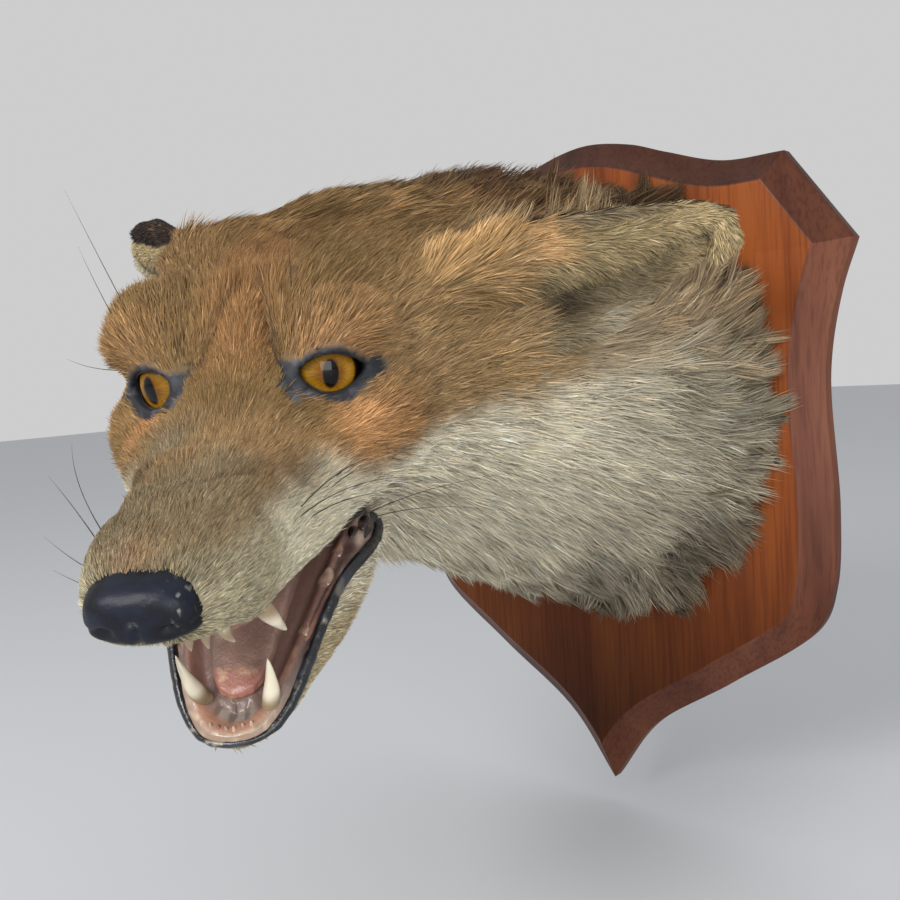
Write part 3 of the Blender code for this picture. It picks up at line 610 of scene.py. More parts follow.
def coat_colour(p):
    """Colour of the coat at world points p, before the change along each hair."""
    h = to_head(p)
    f, l, u = h[:, 0], h[:, 1], h[:, 2]
    al = np.abs(l)
    wob = fbm(p, 22.0)
    fine = fbm(p, 6.0)
    # top of the head: grizzled sides, a reddish stripe up the middle
    col = mix(C["grizzle"], C["brow"], smooth(wob, -0.3, 0.5))
    stripe = smooth(al, 13 + 4 * wob, 4) * smooth(f, 22, 0) * smooth(u, -4, 6)
    col = mix(col, C["rust"], 0.7 * stripe * smooth(f, -70, -30))
    # rusty orange round the eyes and over the cheekbones
    for at_, size_, amount in (((4, 28, -13), (21, 14, 9), 0.46), ((4, 25, 6), (14, 12, 8), 0.35),
                               ((10, -21, -10), (8, 7, 7), 0.75), ((-4, -27, 9), (12, 10, 7), 0.22)):
        e = (h - np.array(at_)) / np.array(size_)
        ring = np.sqrt((e ** 2).sum(1))
        col = mix(col, C["orange"], amount * smooth(ring + 0.35 * wob + 0.2 * fine, 1.3, 0.5))
    ring = np.sqrt((((h - np.array((8, 26, -13))) / np.array((13, 10, 8))) ** 2).sum(1))
    col = col * (1 + 0.42 * smooth(ring + 0.35 * wob + 0.15 * fine, 1.5, 0.2))[:, None]
    # the crown darkens; the dark lines along the creases beside the middle of the brow are painted shade
    col = col * (1 - 0.16 * smooth(u + 5 * wob, 12, 26) * smooth(f, 4, -14))[:, None]
    for side in (1, -1):
        t = np.clip((f + 16) / 20.0, 0, 1)
        line = np.exp(-((l - side * (3.4 + 6.4 * t)) / 1.5) ** 2) * smooth(f, -22, -12) * smooth(f, 8, 2) * smooth(u, -4, 3)
        col = mix(col, C["dark"] * 0.6, (0.75 if side > 0 else 0.45) * line)
    back = smooth(f, 0, -18)
    side_head = smooth(al, 26, 38)
    col = mix(col, C["cheek"], 0.75 * side_head * back * smooth(u + 6 * wob, -34, -20) * smooth(u, 22, 6))
    # muzzle: olive tan above, pale whisker bed at the sides
    mz = smooth(f, 14, 30)
    muz = mix(C["bridge"], C["muzzle"], smooth(wob, -0.4, 0.4))
    muz = mix(muz, C["muzzle"] * 0.9, 0.6 * smooth(f + 3 * wob, 34, 50))
    muz = mix(muz, C["bed"], smooth(u + 3 * wob, -11, -18) * smooth(al, 6, 12))
    muz = mix(muz, srgb(146, 137, 110), 0.75 * smooth(f + 3 * wob, 44, 58) * smooth(u + 2 * wob, -9, -17))
    # painted shade: dark lines along the snarl's crease and below the fold on the muzzle's sides, and a dark patch at
    # the dip on its far side
    crease = f - (47.0 - 0.78 * np.sqrt(al * al + 9.0))
    muz = mix(muz, C["dark"], 0.5 * bump(crease, 0.0, 3.2) * smooth(al, 3, 9) * smooth(u, -22, -16))
    muz = mix(muz, C["dark"], 0.55 * bump(u + 2 * wob, -15, 3.2) * bump(f, 33, 8) * smooth(al, 14, 18))
    muz = mix(muz, C["dark"] * 0.8, 0.6 * np.exp(-(((h - np.array([33, -18, -10])) / np.array([4.5, 5, 6])) ** 2).sum(1)))
    muz = mix(muz, srgb(150, 112, 86), 0.5 * np.exp(-(((h - np.array([70, -3, -10])) / np.array([4.5, 4, 3])) ** 2).sum(1)))
    col = mix(col, muz, mz)
    # pale stripe from the mouth's corner back along the cheek, and the throat
    low = smooth(u + 5 * wob, -14 - 0.10 * (30 - f), -25 - 0.10 * (30 - f))
    col = mix(col, C["pale"], low * smooth(f, 32, 20) * 0.95)
    ring = np.sqrt((((h - np.array((-13, 33, -29))) / np.array((17, 14, 11))) ** 2).sum(1))
    # the low back of the head is darker: painted shade underneath
    col = col * (1 + 0.24 * smooth(ring + 0.3 * wob, 1.3, 0.4) - 0.10 * smooth(u, -36, -46) * smooth(f, -10, -22))[:, None]
    ring = np.sqrt((((h - np.array((-30, 44, 4))) / np.array((17, 14, 10))) ** 2).sum(1))
    col = mix(col, C["grizzle"] * 1.1, 0.45 * smooth(ring + 0.3 * wob, 1.2, 0.4))
    col = mix(col, C["chin"], smooth(u, -44, -56) * smooth(f, -6, 6))
    # neck: cream and grey below, brown along the nape
    nk = smooth(f + 0.28 * (al - 40), -34, -62)
    height = p[:, 2] + 0.16 * (p[:, 1] + 100)
    streak = fbm(p * np.array([1.0, 0.30, 1.0]) + 40, 6.5)
    neck = mix(C["cream"], C["grey"], smooth(fbm(p, 16.0) + 0.3 * fine + 0.35 * streak, -0.15, 0.45))
    top_side = (p[:, 2] - column(NECK_T, p[:, 1], 2)) / column(NECK_T, p[:, 1], 4)
    neck = mix(neck, C["cheek"] * 1.1, 0.60 * smooth(height + 10 * wob, 32, 62))
    neck = mix(neck, mix(C["brow"], C["grizzle"], smooth(fine, -0.3, 0.3)) * 0.98, smooth(top_side + 0.12 * wob, 0.46, 0.66) * smooth(p[:, 1], -40, -100))
    neck = mix(neck, C["nape"], smooth(top_side + 0.10 * wob, 0.58, 0.78) * smooth(p[:, 1], -125, -95))
    # darker towards the board: partly the coat's brown, partly painted shade next to the board
    neck = mix(neck, C["dark"] * 1.15, 0.72 * smooth(p[:, 1] + 9 * wob + 6 * streak, -60, -18))
    # painted shade: the underside of the neck is darkened
    neck = mix(neck, C["dark"], 0.62 * smooth(height, 0, -40) * smooth(p[:, 1], -92, -60))
    neck = mix(neck, mix(C["nape"], C["grizzle"], smooth(fine + 0.3 * wob, 0.1, 0.5)), 0.92 * smooth(u + 2 * wob, 9, 17) * smooth(p[:, 1], -125, -100))
    neck = neck * (1 + 0.30 * fbm(p + 70, 8.0) + 0.18 * fine + 0.42 * streak)[:, None]
    # painted light and shade: darker towards the board, lighter along the top, and lighter at the throat to offset its
    # shade
    neck = neck * (0.84 - 0.16 * smooth(p[:, 1], -105, -60) + 0.12 * smooth(height, 30, 55) + 0.34 * smooth(height, 14, -16) * smooth(p[:, 1], -62, -84))[:, None]
    col = mix(col, neck, nk)
    # painted shade: a dark patch at the ear's opening under the roll; a patch of orange in front of the ear's root
    hole = np.exp(-(((h - np.array([-55, 76, -4])) / np.array([8, 8, 6])) ** 2).sum(1))
    col = mix(col, srgb(38, 26, 20), 0.85 * hole)
    spot = np.exp(-(((h - np.array([-39, 50, 17])) / np.array([11, 11, 8])) ** 2).sum(1))
    return mix(col, srgb(208, 166, 112), 0.62 * spot)


# --------------------------------------------------------------- materials
def material(name, roughness=0.5, colour=None, attribute=None, coat=0.0, specular=0.5, sheen=0.0,
             bump_scale=None, bump_strength=0.2, bump_distance=0.0004, stretch=(1, 1, 1)):
    mat = bpy.data.materials.new(name)
    mat.use_nodes = True
    nodes, links = mat.node_tree.nodes, mat.node_tree.links
    bsdf = nodes["Principled BSDF"]
    bsdf.inputs["Roughness"].default_value = roughness
    bsdf.inputs["Specular IOR Level"].default_value = specular
    bsdf.inputs["Coat Weight"].default_value = coat
    bsdf.inputs["Coat Roughness"].default_value = 0.08
    bsdf.inputs["Sheen Weight"].default_value = sheen
    if colour is not None:
        bsdf.inputs["Base Color"].default_value = (*colour, 1)
    if attribute:
        node = nodes.new("ShaderNodeAttribute")
        node.attribute_name = attribute
        links.new(node.outputs["Color"], bsdf.inputs["Base Color"])
    if bump_scale:
        coord = nodes.new("ShaderNodeTexCoord")
        mapping = nodes.new("ShaderNodeMapping")
        mapping.inputs["Scale"].default_value = stretch
        tex = nodes.new("ShaderNodeTexNoise")
        tex.inputs["Scale"].default_value = bump_scale
        tex.inputs["Detail"].default_value = 4
        node = nodes.new("ShaderNodeBump")
        node.inputs["Strength"].default_value = bump_strength
        node.inputs["Distance"].default_value = bump_distance
        links.new(coord.outputs["Object"], mapping.inputs["Vector"])
        links.new(mapping.outputs["Vector"], tex.inputs["Vector"])
        links.new(tex.outputs["Fac"], node.inputs["Height"])
        links.new(node.outputs["Normal"], bsdf.inputs["Normal"])
    return mat


SKIN = material("skin", 0.62, attribute="Col", specular=0.4, bump_scale=900, bump_strength=0.5)
COAT = material("coat", 0.6, attribute="Col", specular=0.1)
LEATHER = material("lid_leather", 0.42, attribute="Col", specular=0.5, bump_scale=1500, bump_strength=0.4)
LIP = material("lip_leather", 0.3, attribute="Col", coat=0.25, bump_scale=1100, bump_strength=0.6)
GUM = material("painted_gum", 0.36, attribute="Col", coat=0.2, bump_scale=900, bump_strength=0.5)
TONGUE = material("painted_tongue", 0.42, attribute="Col", coat=0.15, bump_scale=1400, bump_strength=0.7)
TOOTH = material("tooth", 0.22, attribute="Col", coat=0.5, bump_scale=500, bump_strength=0.15)
NOSE = material("nose_leather", 0.46, attribute="Col", coat=0.03, specular=0.24, bump_scale=2400, bump_strength=0.35, bump_distance=0.0002)
NOSE.node_tree.nodes["Principled BSDF"].inputs["Coat Roughness"].default_value = 0.3
EYE = material("glass_eye", 0.3, attribute="Col", coat=1.0, specular=0.04)
EYE.node_tree.nodes["Principled BSDF"].inputs["Coat IOR"].default_value = 1.42
EYE.node_tree.nodes["Principled BSDF"].inputs["Coat Weight"].default_value = 0.55
EYE.node_tree.nodes["Principled BSDF"].inputs["Coat Roughness"].default_value = 0.015
WHISKER = material("whisker", 0.35, colour=srgb(30, 24, 20))


# ------------------------------------------------------------- skin's regions
def mouth_inside(h):
    """1 on the lining of the mouth, 0 on the outside of the head."""
    f, l, u = h[:, 0], h[:, 1], h[:, 2]
    al = np.abs(l)
    roof = (u < lip_edge(f) + 5.5) & (u > lip_edge(f) - 0.7) & (al < column(HEAD_T, f, 2) - 5.2) & (f < 65) & (f > -12)
    floor = (u > rim_u(f) - 0.9) & (u < lower_lip(f) + 0.3) & (al < column(JAW_T, f, 2) - 1.0) & (f < 58) & (f > -12)
    between = (f > -14) & (f < 62) & (u < upper_lip(f) + 1) & (u > lower_lip(f) - 1) & (al < 24)
    return (roof | floor | between).astype(float)


def eye_band(h):
    """Distance in mm outside the lids' edge (negative over the eye), nearest eye."""
    best = np.full(len(h), 50.0)
    for side in (1, -1):
        _, r, inside, depth, x, z = eye_fields(h, side)
        near = np.where((depth > -3) & (r < 26), inside, 50.0)
        best = np.minimum(best, near)
    return best


def bare_skin(h):
    """How bare and dark the leathery skin round the eyes is, 0 to 1."""
    out = np.zeros(len(h))
    for side in (1, -1):
        _, r, inside, depth, x, z = eye_fields(h, side)
        wide = 1.5 + 1.1 * smooth(z, 0.5, -4.5) + 3.2 * bump(x, -9.5, 3.4) * smooth(z, 4.5, 0.5) + 3.0 * bump(x, 12.0, 3.0) * bump(z, 0.4, 2.2)
        wide = wide + 0.4 * fbm(h, 5.0)
        out = np.maximum(out, smooth(inside, wide + 0.7, wide - 0.3) * (depth > -1) * (r < 24))
        # a bare bluish patch runs down from the inner corner
        patch = np.sqrt(((x + 11.8) / 3.2) ** 2 + ((z + 4.6) / 2.4) ** 2)
        out = np.maximum(out, 0.75 * smooth(patch + 0.2 * fbm(h, 4.0), 1.3, 0.8) * (depth > -1) * (r < 24))
    return out


skin = mesh_object("skin", verts, quads, SKIN)
head_pts = to_head(verts)
inside = mouth_inside(head_pts)
skin_col = coat_colour(verts) * 0.62
lining = mix(C["mouth"], C["gum"], smooth(fbm(verts, 7.0), -0.4, 0.4))
# painted shade: the lining darkens towards the back of the mouth
lining = mix(lining, C["mouth"] * 0.35, smooth(head_pts[:, 0], 22, 4))
skin_col = mix(skin_col, lining, inside)
bare = bare_skin(head_pts)
band = eye_band(head_pts)
skin_col = mix(skin_col, mix(C["leather"], srgb(74, 79, 88), smooth(fbm(verts, 2.2) + 0.16 * (band - 2.0), -0.1, 0.7)), bare)
edge = smooth(np.abs(head_pts[:, 2] - lip_edge(head_pts[:, 0])), 2.0, 0.8) * (head_pts[:, 0] > 5) * (inside < 0.5)
skin_col = mix(skin_col, srgb(70, 50, 42), 0.8 * edge)
paint(skin, skin_col)
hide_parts("head", "muzzle", "neck", "lower_jaw", "ear_left", "ear_right")
normals = np.empty(len(verts) * 3, np.float32)
skin.data.vertices.foreach_get("normal", normals)
normals = normals.reshape(-1, 3).astype(float)


# ------------------------------------------------------------------- the coat
rng = np.random.default_rng(2024)
tri = np.concatenate([quads[:, [0, 1, 2]], quads[:, [0, 2, 3]]])
tv = verts[tri]
area = 0.5 * np.linalg.norm(np.cross(tv[:, 1] - tv[:, 0], tv[:, 2] - tv[:, 0]), axis=1)
mid = tv.mean(1)
mid_h = to_head(mid)
tri_n = unit(normals[tri].sum(1))
# which part of the skin each triangle belongs to
on_ear = {}
for name, spec in EARS.items():
    reach_pts = np.concatenate([ear_trees[name][1].reshape(-1, 3), np.array(spec["roll"])[:, :3], np.array(spec["tip"])[:, :3]])
    near = np.where(((mid_h > reach_pts.min(0) - 9) & (mid_h < reach_pts.max(0) + 9)).all(1))[0]
    t_near = ear_place(name, mid_h[near])
    hit = (ear_field(name, mid_h[near]) < 0.9) & (t_near > (0.10 if name == "left" else 0.02))
    full = np.zeros(len(mid), bool)
    full[near[hit]] = True
    on_ear[name] = full
ear_any = on_ear["left"] | on_ear["right"]


def fur_density(h, p, n):
    """Relative number of hairs for each square millimetre; 0 where it is bare."""
    f, l, u = h[:, 0], h[:, 1], h[:, 2]
    d = 1.0 - mouth_inside(h)
    d = d * (eye_band(h) > 0.9)
    d = d * (1 - 0.97 * smooth(bare_skin(h), 0.25, 0.75))
    nose = np.sqrt(((f - 74) / 9) ** 2 + ((l + 1.1) / 11.0) ** 2 + ((u + 17.5) / 5.4) ** 2) < 1
    d = d * ~nose
    lip_low = (f > 0) & (u > rim_u(f) - 1.3) & (u < upper_lip(f) - 1) & (np.abs(l) < 30)
    d = d * ~lip_low
    d = d * (p[:, 1] < -15.5)
    return d


density = fur_density(mid_h, mid, tri_n)


def lie_of_coat(p, h, n):
    """Direction the hair grows in, along the surface, for roots off the ears."""
    f, l, u = h[:, 0], h[:, 1], h[:, 2]
    s = np.sign(l + 1e-6)
    al = np.abs(l)
    head_dir = np.zeros_like(h)
    head_dir[:, 0] = -1.0
    head_dir[:, 1] = s * (0.22 * smooth(al, 2, 14) + 0.25 * smooth(f, 20, -10) * smooth(al, 6, 30))
    head_dir[:, 2] = 0.15 * smooth(u, 0, 20) - 0.42 * smooth(u, -6, -34) * smooth(f, 30, 0)
    # the hair parts round the inner corner of each eye and sweeps past it
    for side in (1, -1):
        e = h - np.array([6, side * 22, 0])
        near = np.exp(-((e / np.array([16, 13, 12])) ** 2).sum(1))
        head_dir[:, 2] += 0.9 * near * np.sign(e[:, 2] + 0.5) * smooth(e[:, 0], -8, 6)
        head_dir[:, 1] += 0.3 * near * side
    # brow hair stands up and back
    head_dir[:, 2] += 0.38 * bump(u, 12, 8) * smooth(f, -22, -4) * smooth(al, 34, 20)
    jaw = smooth(u, lower_lip(f) + 1, lower_lip(f) - 3) * smooth(f, -4, 8)
    head_dir[:, 2] -= 0.35 * jaw
    w_head = head_dir @ AXES
    cx, cz = column(NECK_T, p[:, 1], 1), column(NECK_T, p[:, 1], 2)
    radial = unit(np.stack([p[:, 0] - cx, np.zeros(len(p)), p[:, 2] - cz], 1))
    neck_dir = np.array([0.0, 1.0, 0.0]) + radial * 0.10
    neck_dir[:, 2] -= 0.38 * smooth(p[:, 2], 44, 2)
    neck_dir[:, 2] += 0.34 * bump(p[:, 2], 66, 22) * smooth(p[:, 0], 5, 30)
    # waves of the neck's coat
    wave = fbm(p, 38.0, 2)
    neck_dir = neck_dir + np.cross(radial, [0, 1.0, 0]) * (0.60 * wave[:, None])
    t = smooth(f + 0.3 * (al - 40), -30, -66)[:, None]
    d = w_head * (1 - t) + neck_dir * t
    d = d + 0.06 * np.stack([noise(p + 5, 9.0), noise(p + 50, 9.0), noise(p + 90, 9.0)], 1)
    return unit(d - n * (d * n).sum(1)[:, None])


def coat_form(h, p):
    """Length, width, lift in degrees and clumping of the hair at each root."""
    f, l, u = h[:, 0], h[:, 1], h[:, 2]
    al = np.abs(l)
    length = np.interp(f, [-90, -70, -50, -30, -12, 4, 20, 40, 60, 75],
                       [19, 16, 12.5, 10.0, 8.2, 6.6, 5.4, 4.6, 3.6, 2.6])
    length = length * (1 - 0.45 * smooth(f, 57, 66) * smooth(u, -20, -25))
    length = length * (1 + 0.35 * smooth(u, -22, -42) * smooth(f, 12, -20))
    eye = smooth(eye_band(h), 9, 1.5)
    length = length * (1 - 0.45 * eye)
    jaw = smooth(u, rim_u(f) + 1, rim_u(f) - 3) * smooth(f, -6, 8)
    length = length * (1 - jaw) + (2.6 + 4.0 * smooth(f, 42, 6)) * jaw
    y = p[:, 1]
    back = smooth(f + 0.3 * (al - 40), -40, -75)
    neck_len = np.interp(y, [-140, -110, -70, -30, -15], [16, 20, 25, 27, 23])
    length = length * (1 - back) + neck_len * back
    width = np.interp(length, [3, 6, 12, 25], [0.17, 0.23, 0.34, 0.44])
    lift = np.interp(length, [2.5, 4, 6, 12, 25], [6, 7, 11, 16, 17]) + 5 * smooth(y, -60, -25) * back
    lift = lift - 3 * eye - 6 * smooth(f, -15, -30) * smooth(f, -95, -75) * smooth(u, 8, 22)
    top_side = (p[:, 2] - column(NECK_T, y, 2)) / column(NECK_T, y, 4)
    crown = smooth(top_side, 0.5, 0.75) * smooth(y, -85, -110)
    clump = 0.10 + 0.72 * back * (1 - 0.75 * crown)
    length = length * (1 - 0.3 * crown)
    width = width * (1 - 0.25 * crown)
    lift = lift - 6 * crown
    return length, width, lift, clump


LONG = dict(us=(0.0, 0.38, 0.74, 1.0), ws=(1.0, 0.92, 0.62, 0.0), along=(0.50, 0.50, 0.92, 0.92, 1.10, 1.10, 1.16),
            share=(0, 0, 0.12, 0.12, 0.5, 0.5, 0.95))
SHORT = dict(us=(0.0, 0.55, 1.0), ws=(1.0, 0.85, 0.0), along=(0.58, 0.58, 1.0, 1.0, 1.16), share=(0, 0, 0.3, 0.3, 0.9))


def blades(kind, root, n, t, length, width, lift, roll, bend, rise=0.5):
    """The points of each hair: pairs of points, then the tip."""
    s = unit(np.cross(t, n))
    s = unit(s * np.cos(roll)[:, None] + n * np.sin(roll)[:, None])
    pts = []
    lift = np.radians(lift)
    for u_, w_ in zip(kind["us"], kind["ws"]):
        c = root - n * 0.3 + t * (length * np.cos(lift) * u_)[:, None] \
            + n * (length * np.sin(lift) * (u_ - rise * 0.5 * u_ * u_) * 1.25)[:, None] \
            + s * (length * bend * u_ * u_)[:, None]
        if w_:
            pts += [c - s * (0.5 * width * w_)[:, None], c + s * (0.5 * width * w_)[:, None]]
        else:
            pts.append(c)
    return np.stack(pts, 1)


def unwrap(p, h):
    """Places on an unwrap of the skin: round the middle line, and along it."""
    f, l, u = h[:, 0], h[:, 1], h[:, 2]
    angle = np.arctan2(l, u + 18.0) / (2 * np.pi) + 0.5
    y = p[:, 1]
    cx, cz = column(NECK_T, y, 1), column(NECK_T, y, 2)
    angle_n = np.arctan2(p[:, 0] - cx, p[:, 2] - cz) / (2 * np.pi) + 0.5
    return angle, angle_n, f, y


def coat_piece(name, pick, count, kind, uv_of, colour_of, lie_of, form_of, seed):
    """Grow `count` hairs on the picked triangles and join them in one mesh."""
    g = np.random.default_rng(seed)
    weight = area[pick] * density[pick] * pick_scale[pick]
    if weight.sum() <= 0:
        return None
    chosen = pick[g.choice(len(pick), count, p=weight / weight.sum())]
    r1, r2 = np.sqrt(g.random(count)), g.random(count)
    bary = np.stack([1 - r1, r1 * (1 - r2), r1 * r2], 1)
    root = (tv[chosen] * bary[..., None]).sum(1)
    n = unit((normals[tri[chosen]] * bary[..., None]).sum(1))
    h = to_head(root)
    m = len(root)
    t = lie_of(root, h, n, chosen)
    length, width, lift, clump = form_of(h, root, chosen)
    length = length * (0.75 + 0.45 * g.random(m))
    guard = g.random(m) < 0.08
    length = np.where(guard, length * 1.2, length)
    width = width * (0.8 + 0.4 * g.random(m)) * np.where(guard, 0.7, 1.0)
    lift = lift * (0.7 + 0.6 * g.random(m)) + np.where(guard, 3, 0)
    shaggy = kind is LONG

    # neighbours share a direction, so locks form
    seeds = g.choice(m, max(m // (45 if kind is SHORT else 60), 1), replace=False)
    tree = KDTree(len(seeds))
    for k, i in enumerate(seeds):
        tree.insert(root[i], k)
    tree.balance()
    lead = np.fromiter((tree.find(p)[1] for p in root), int, m)
    lead = seeds[lead]
    swing = g.normal(0, 0.30 if shaggy else 0.18, m)[lead] * (0.3 + clump) + g.normal(0, 0.11, m)
    if shaggy:
        lift = lift + 3.5 * g.normal(0, 1, m)[lead] * (clump > 0.5)
        length = length * (1 + 0.12 * g.normal(0, 1, m)[lead])
    t = unit(t + np.cross(n, t) * swing[:, None])
    pts = blades(kind, root, n, t, length, width, lift, g.normal(0, 0.5, m), g.normal(0, 0.07, m))
    # tips of a lock draw together
    to_lead = pts[lead, -1] - pts[:, -1]
    near = np.clip(1 - np.linalg.norm(root[lead] - root, axis=1) / (0.45 * length + 2), 0, 1)
    pull = (clump * near)[:, None, None]
    share = np.array(kind["share"])[None, :, None]
    pts = pts + to_lead[:, None, :] * pull * share
    # a hair that would dip under the skin ahead of it rides over it
    per_row = pts.shape[1]
    for cols, clear in (((per_row - 1,), 0.45 + 0.02 * length), *(((k, k + 1), 0.25 + 0.01 * length) for k in range(2, per_row - 2, 2))):
        deep_ = clear - field_at(pts[:, cols[0]])
        pts[:, cols, :] += (n * np.clip(deep_, 0, 4)[:, None])[:, None, :]
    pts[..., 1] = np.minimum(pts[..., 1], -14.6)
    base = colour_of(root, h, chosen)
    lock = (0.07 if kind is SHORT else 0.20) * g.normal(0, 1, m)[lead]
    value = np.clip(1 + 0.18 * g.normal(0, 1, m) + lock, 0.45, 1.7)[:, None]
    pick_ = g.random(m)[:, None]
    base = np.where(pick_ < 0.15, base * 0.5, np.where(pick_ > 0.87, base * 1.5 + 0.02, base)) * value
    warm = g.normal(0, 0.04, m)[:, None]
    base = np.clip(base * np.concatenate([1 + warm, np.ones((m, 1)), 1 - 1.4 * warm], 1), 0.004, 0.95)
    along = np.array(kind["along"])[None, :, None]
    col = np.clip(base[:, None, :] * along, 0, 0.97)
    per = pts.shape[1]
    idx = np.arange(m)[:, None] * per
    walls = [idx + np.array([[k, k + 1, k + 3, k + 2]]) for k in range(0, per - 3, 2)]
    t1 = idx + np.array([[per - 3, per - 2, per - 1]])
    obj = mesh_object(name, pts.reshape(-1, 3), [np.concatenate(walls), t1], COAT)
    paint(obj, col.reshape(-1, 3))
    uv0 = uv_of(root, h, chosen)
    local = []
    for u_, w_ in zip(kind["us"], kind["ws"]):
        local += [(-0.5 * w_, u_), (0.5 * w_, u_)] if w_ else [(0.0, u_)]
    uv = (0.004 + 0.99 * uv0)[:, None, :] + 0.003 * np.array(local)[None]
    layer = obj.data.uv_layers.new(name="OFBake")
    corner = np.empty(len(obj.data.loops), np.int32)
    obj.data.loops.foreach_get("vertex_index", corner)
    layer.data.foreach_set("uv", uv.reshape(-1, 2)[corner].astype(np.float32).ravel())
    return obj


def fit01(v):
    lo, hi = v.min(), v.max()
    return (v - lo) / max(hi - lo, 1e-6) * 0.985


def head_uv(root, h, chosen):
    a, _, f, _ = unwrap(root, h)
    return np.stack([fit01(a), fit01(f)], 1)


def neck_uv(root, h, chosen):
    _, a, _, y = unwrap(root, h)
    return np.stack([fit01(a), fit01(y)], 1)


def ear_uv(root, h, chosen):
    uv = np.zeros((len(root), 2))
    for k, name in enumerate(EARS):
        m = on_ear[name][chosen]
        face, rim = np.array(EARS[name]["face"]), np.array(EARS[name]["rim"])
        n_h = tri_n[chosen] @ AXES.T
        front = (n_h @ face) > 0
        across = (h - np.array(EARS[name]["base"])) @ unit(rim)
        uv[m, 0] = 0.48 * np.clip(ear_place(name, h[m]), 0, 1) + 0.5 * k
        uv[m, 1] = 0.46 * np.clip((across[m] + 26) / 52, 0, 1) + 0.5 * front[m]
    jitter = np.random.default_rng(3).random((len(root), 2)) * 0.02
    return np.clip(uv + jitter, 0, 0.985)


def plain_lie(root, h, n, chosen):
    return lie_of_coat(root, h, n)


def plain_form(h, p, chosen):
    return coat_form(h, p)


def plain_colour(root, h, chosen):
    return coat_colour(root)


def ear_lie(root, h, n, chosen):
    d = lie_of_coat(root, h, n)
    n_h = n @ AXES.T
    for name, spec in EARS.items():
        m = on_ear[name][chosen]
        t = ear_place(name, h)
        axis = unit(np.array(spec["end"], float) - np.array(spec["base"], float))
        rim, face = unit(spec["rim"]), unit(spec["face"])
        front = (n_h @ face) > -0.2
        fall = np.where(front, 0.62 - 0.5 * (n_h @ rim), -0.15) * smooth(t, 0.0, 0.25)
        fall = fall + np.where(front, 1.3, 0.3) * smooth(t, 0.88, 0.98)
        way = axis[None] - rim[None] * fall[:, None]
        way = unit(way) @ AXES
        blend = smooth(t, 0.0, 0.2)[:, None]
        way = way * blend + d * (1 - blend)
        d[m] = unit(way - n * (way * n).sum(1)[:, None])[m]
    return d


def ear_form(h, p, chosen):
    length, width, lift, clump = coat_form(h, p)
    n_h = tri_n[chosen] @ AXES.T
    for name, spec in EARS.items():
        m = on_ear[name][chosen]
        t = np.clip(ear_place(name, h), 0, 1)
        front = (n_h @ unit(spec["face"])) > -0.2
        long_ = 9.0 - 5.2 * smooth(t, 0.1, 0.95) if name == "left" else 3.6 - 1.4 * t
        ear_len = np.where(front, long_, 3.6 - 1.2 * t)
        length = np.where(m, ear_len, length)
        width = np.where(m, 0.27, width)
        lift = np.where(m, np.where(front, 13, 9), lift)
        clump = np.where(m, 0.22, clump)
    return length, width, lift, clump


def ear_colour(root, h, chosen):
    col = coat_colour(root)
    n_h = tri_n[chosen] @ AXES.T
    for name, spec in EARS.items():
        m = on_ear[name][chosen]
        t = np.clip(ear_place(name, h), 0, 1)
        rim, face = unit(spec["rim"]), unit(spec["face"])
        roll_d = chain(h, spec["roll"])
        back = smooth(n_h @ (0.75 * rim - 0.65 * face), 0.42, 0.75) * smooth(roll_d, -1.0, 0.6)
        back = np.maximum(back, smooth(n_h @ face, -0.35, -0.6))
        if name == "right":
            back = np.maximum(smooth(n_h @ face, -0.35, -0.6), smooth(h[:, 2] - 20.4 - 0.07 * (h[:, 0] + 105), 0.0, 1.0) * smooth(t, 0.0, 0.12))
        # away from the roll the ear darkens to ear_in: partly the grey-brown bases of its hairs, partly painted shade
        # in the ear's hollow
        inner = mix(C["ear"] * 0.8, C["ear_in"], 0.85 * smooth(roll_d, 0.8, 2.6) * smooth(t, 0.95, 0.7))
        # painted shade on the underside of the roll
        under = smooth(-(n_h @ rim), 0.15, 0.8) * smooth(roll_d, 1.5, 0.6)
        inner = mix(inner, C["ear"] * 1.15, 0.8 * smooth(t, 0.62, 0.92))
        inner = mix(inner, C["ear_in"] * 0.55, 0.75 * under)
        across = (h - np.array(spec["base"])) @ rim
        inner = mix(inner, C["cream"], 0.7 * smooth(across, -14, -19) * smooth(t, 0.3, 0.5))
        if name == "left":
            inner = mix(inner, srgb(206, 160, 108), 0.7 * smooth(t, 0.40, 0.14) * smooth(n_h @ rim, 0.1, 0.6) * smooth(across, -9, -3))
        w = smooth(t, 0.02, 0.2)[:, None]
        c = mix(inner, C["ear_back"], back)
        col = np.where(m[:, None], col * (1 - w) + c * w, col)
    # painted shade: a dark patch at the ear's opening
    hole = np.exp(-(((h - np.array([-55, 76, -4])) / np.array([8, 8, 6])) ** 2).sum(1))
    return mix(col, srgb(34, 24, 18), 0.9 * hole)


f_m, l_m, u_m, y_m = mid_h[:, 0], mid_h[:, 1], mid_h[:, 2], mid[:, 1]
backness = f_m + 0.3 * (np.abs(l_m) - 40)
ear_set = ear_any
jaw_set = ~ear_set & (f_m > -4) & (u_m < rim_u(f_m) + 0.5)
muzzle_set = ~ear_set & ~jaw_set & (f_m > 22)
neck_set = ~ear_set & ~jaw_set & ~muzzle_set & (backness < -56)
face_set = ~ear_set & ~jaw_set & ~muzzle_set & ~neck_set
pick_scale = np.ones(len(mid))
# hairs thin out towards the back of the head, where each is longer and wider
pick_scale[face_set] = np.interp(f_m[face_set], [-70, -30, 0, 22], [0.62, 0.8, 1.0, 1.35])
# more hairs on the side of the neck that the spread ear leaves open
groups = []


def group(name, mask, count, *how, seed):
    groups.append((name, np.where(mask)[0], count, how, seed))


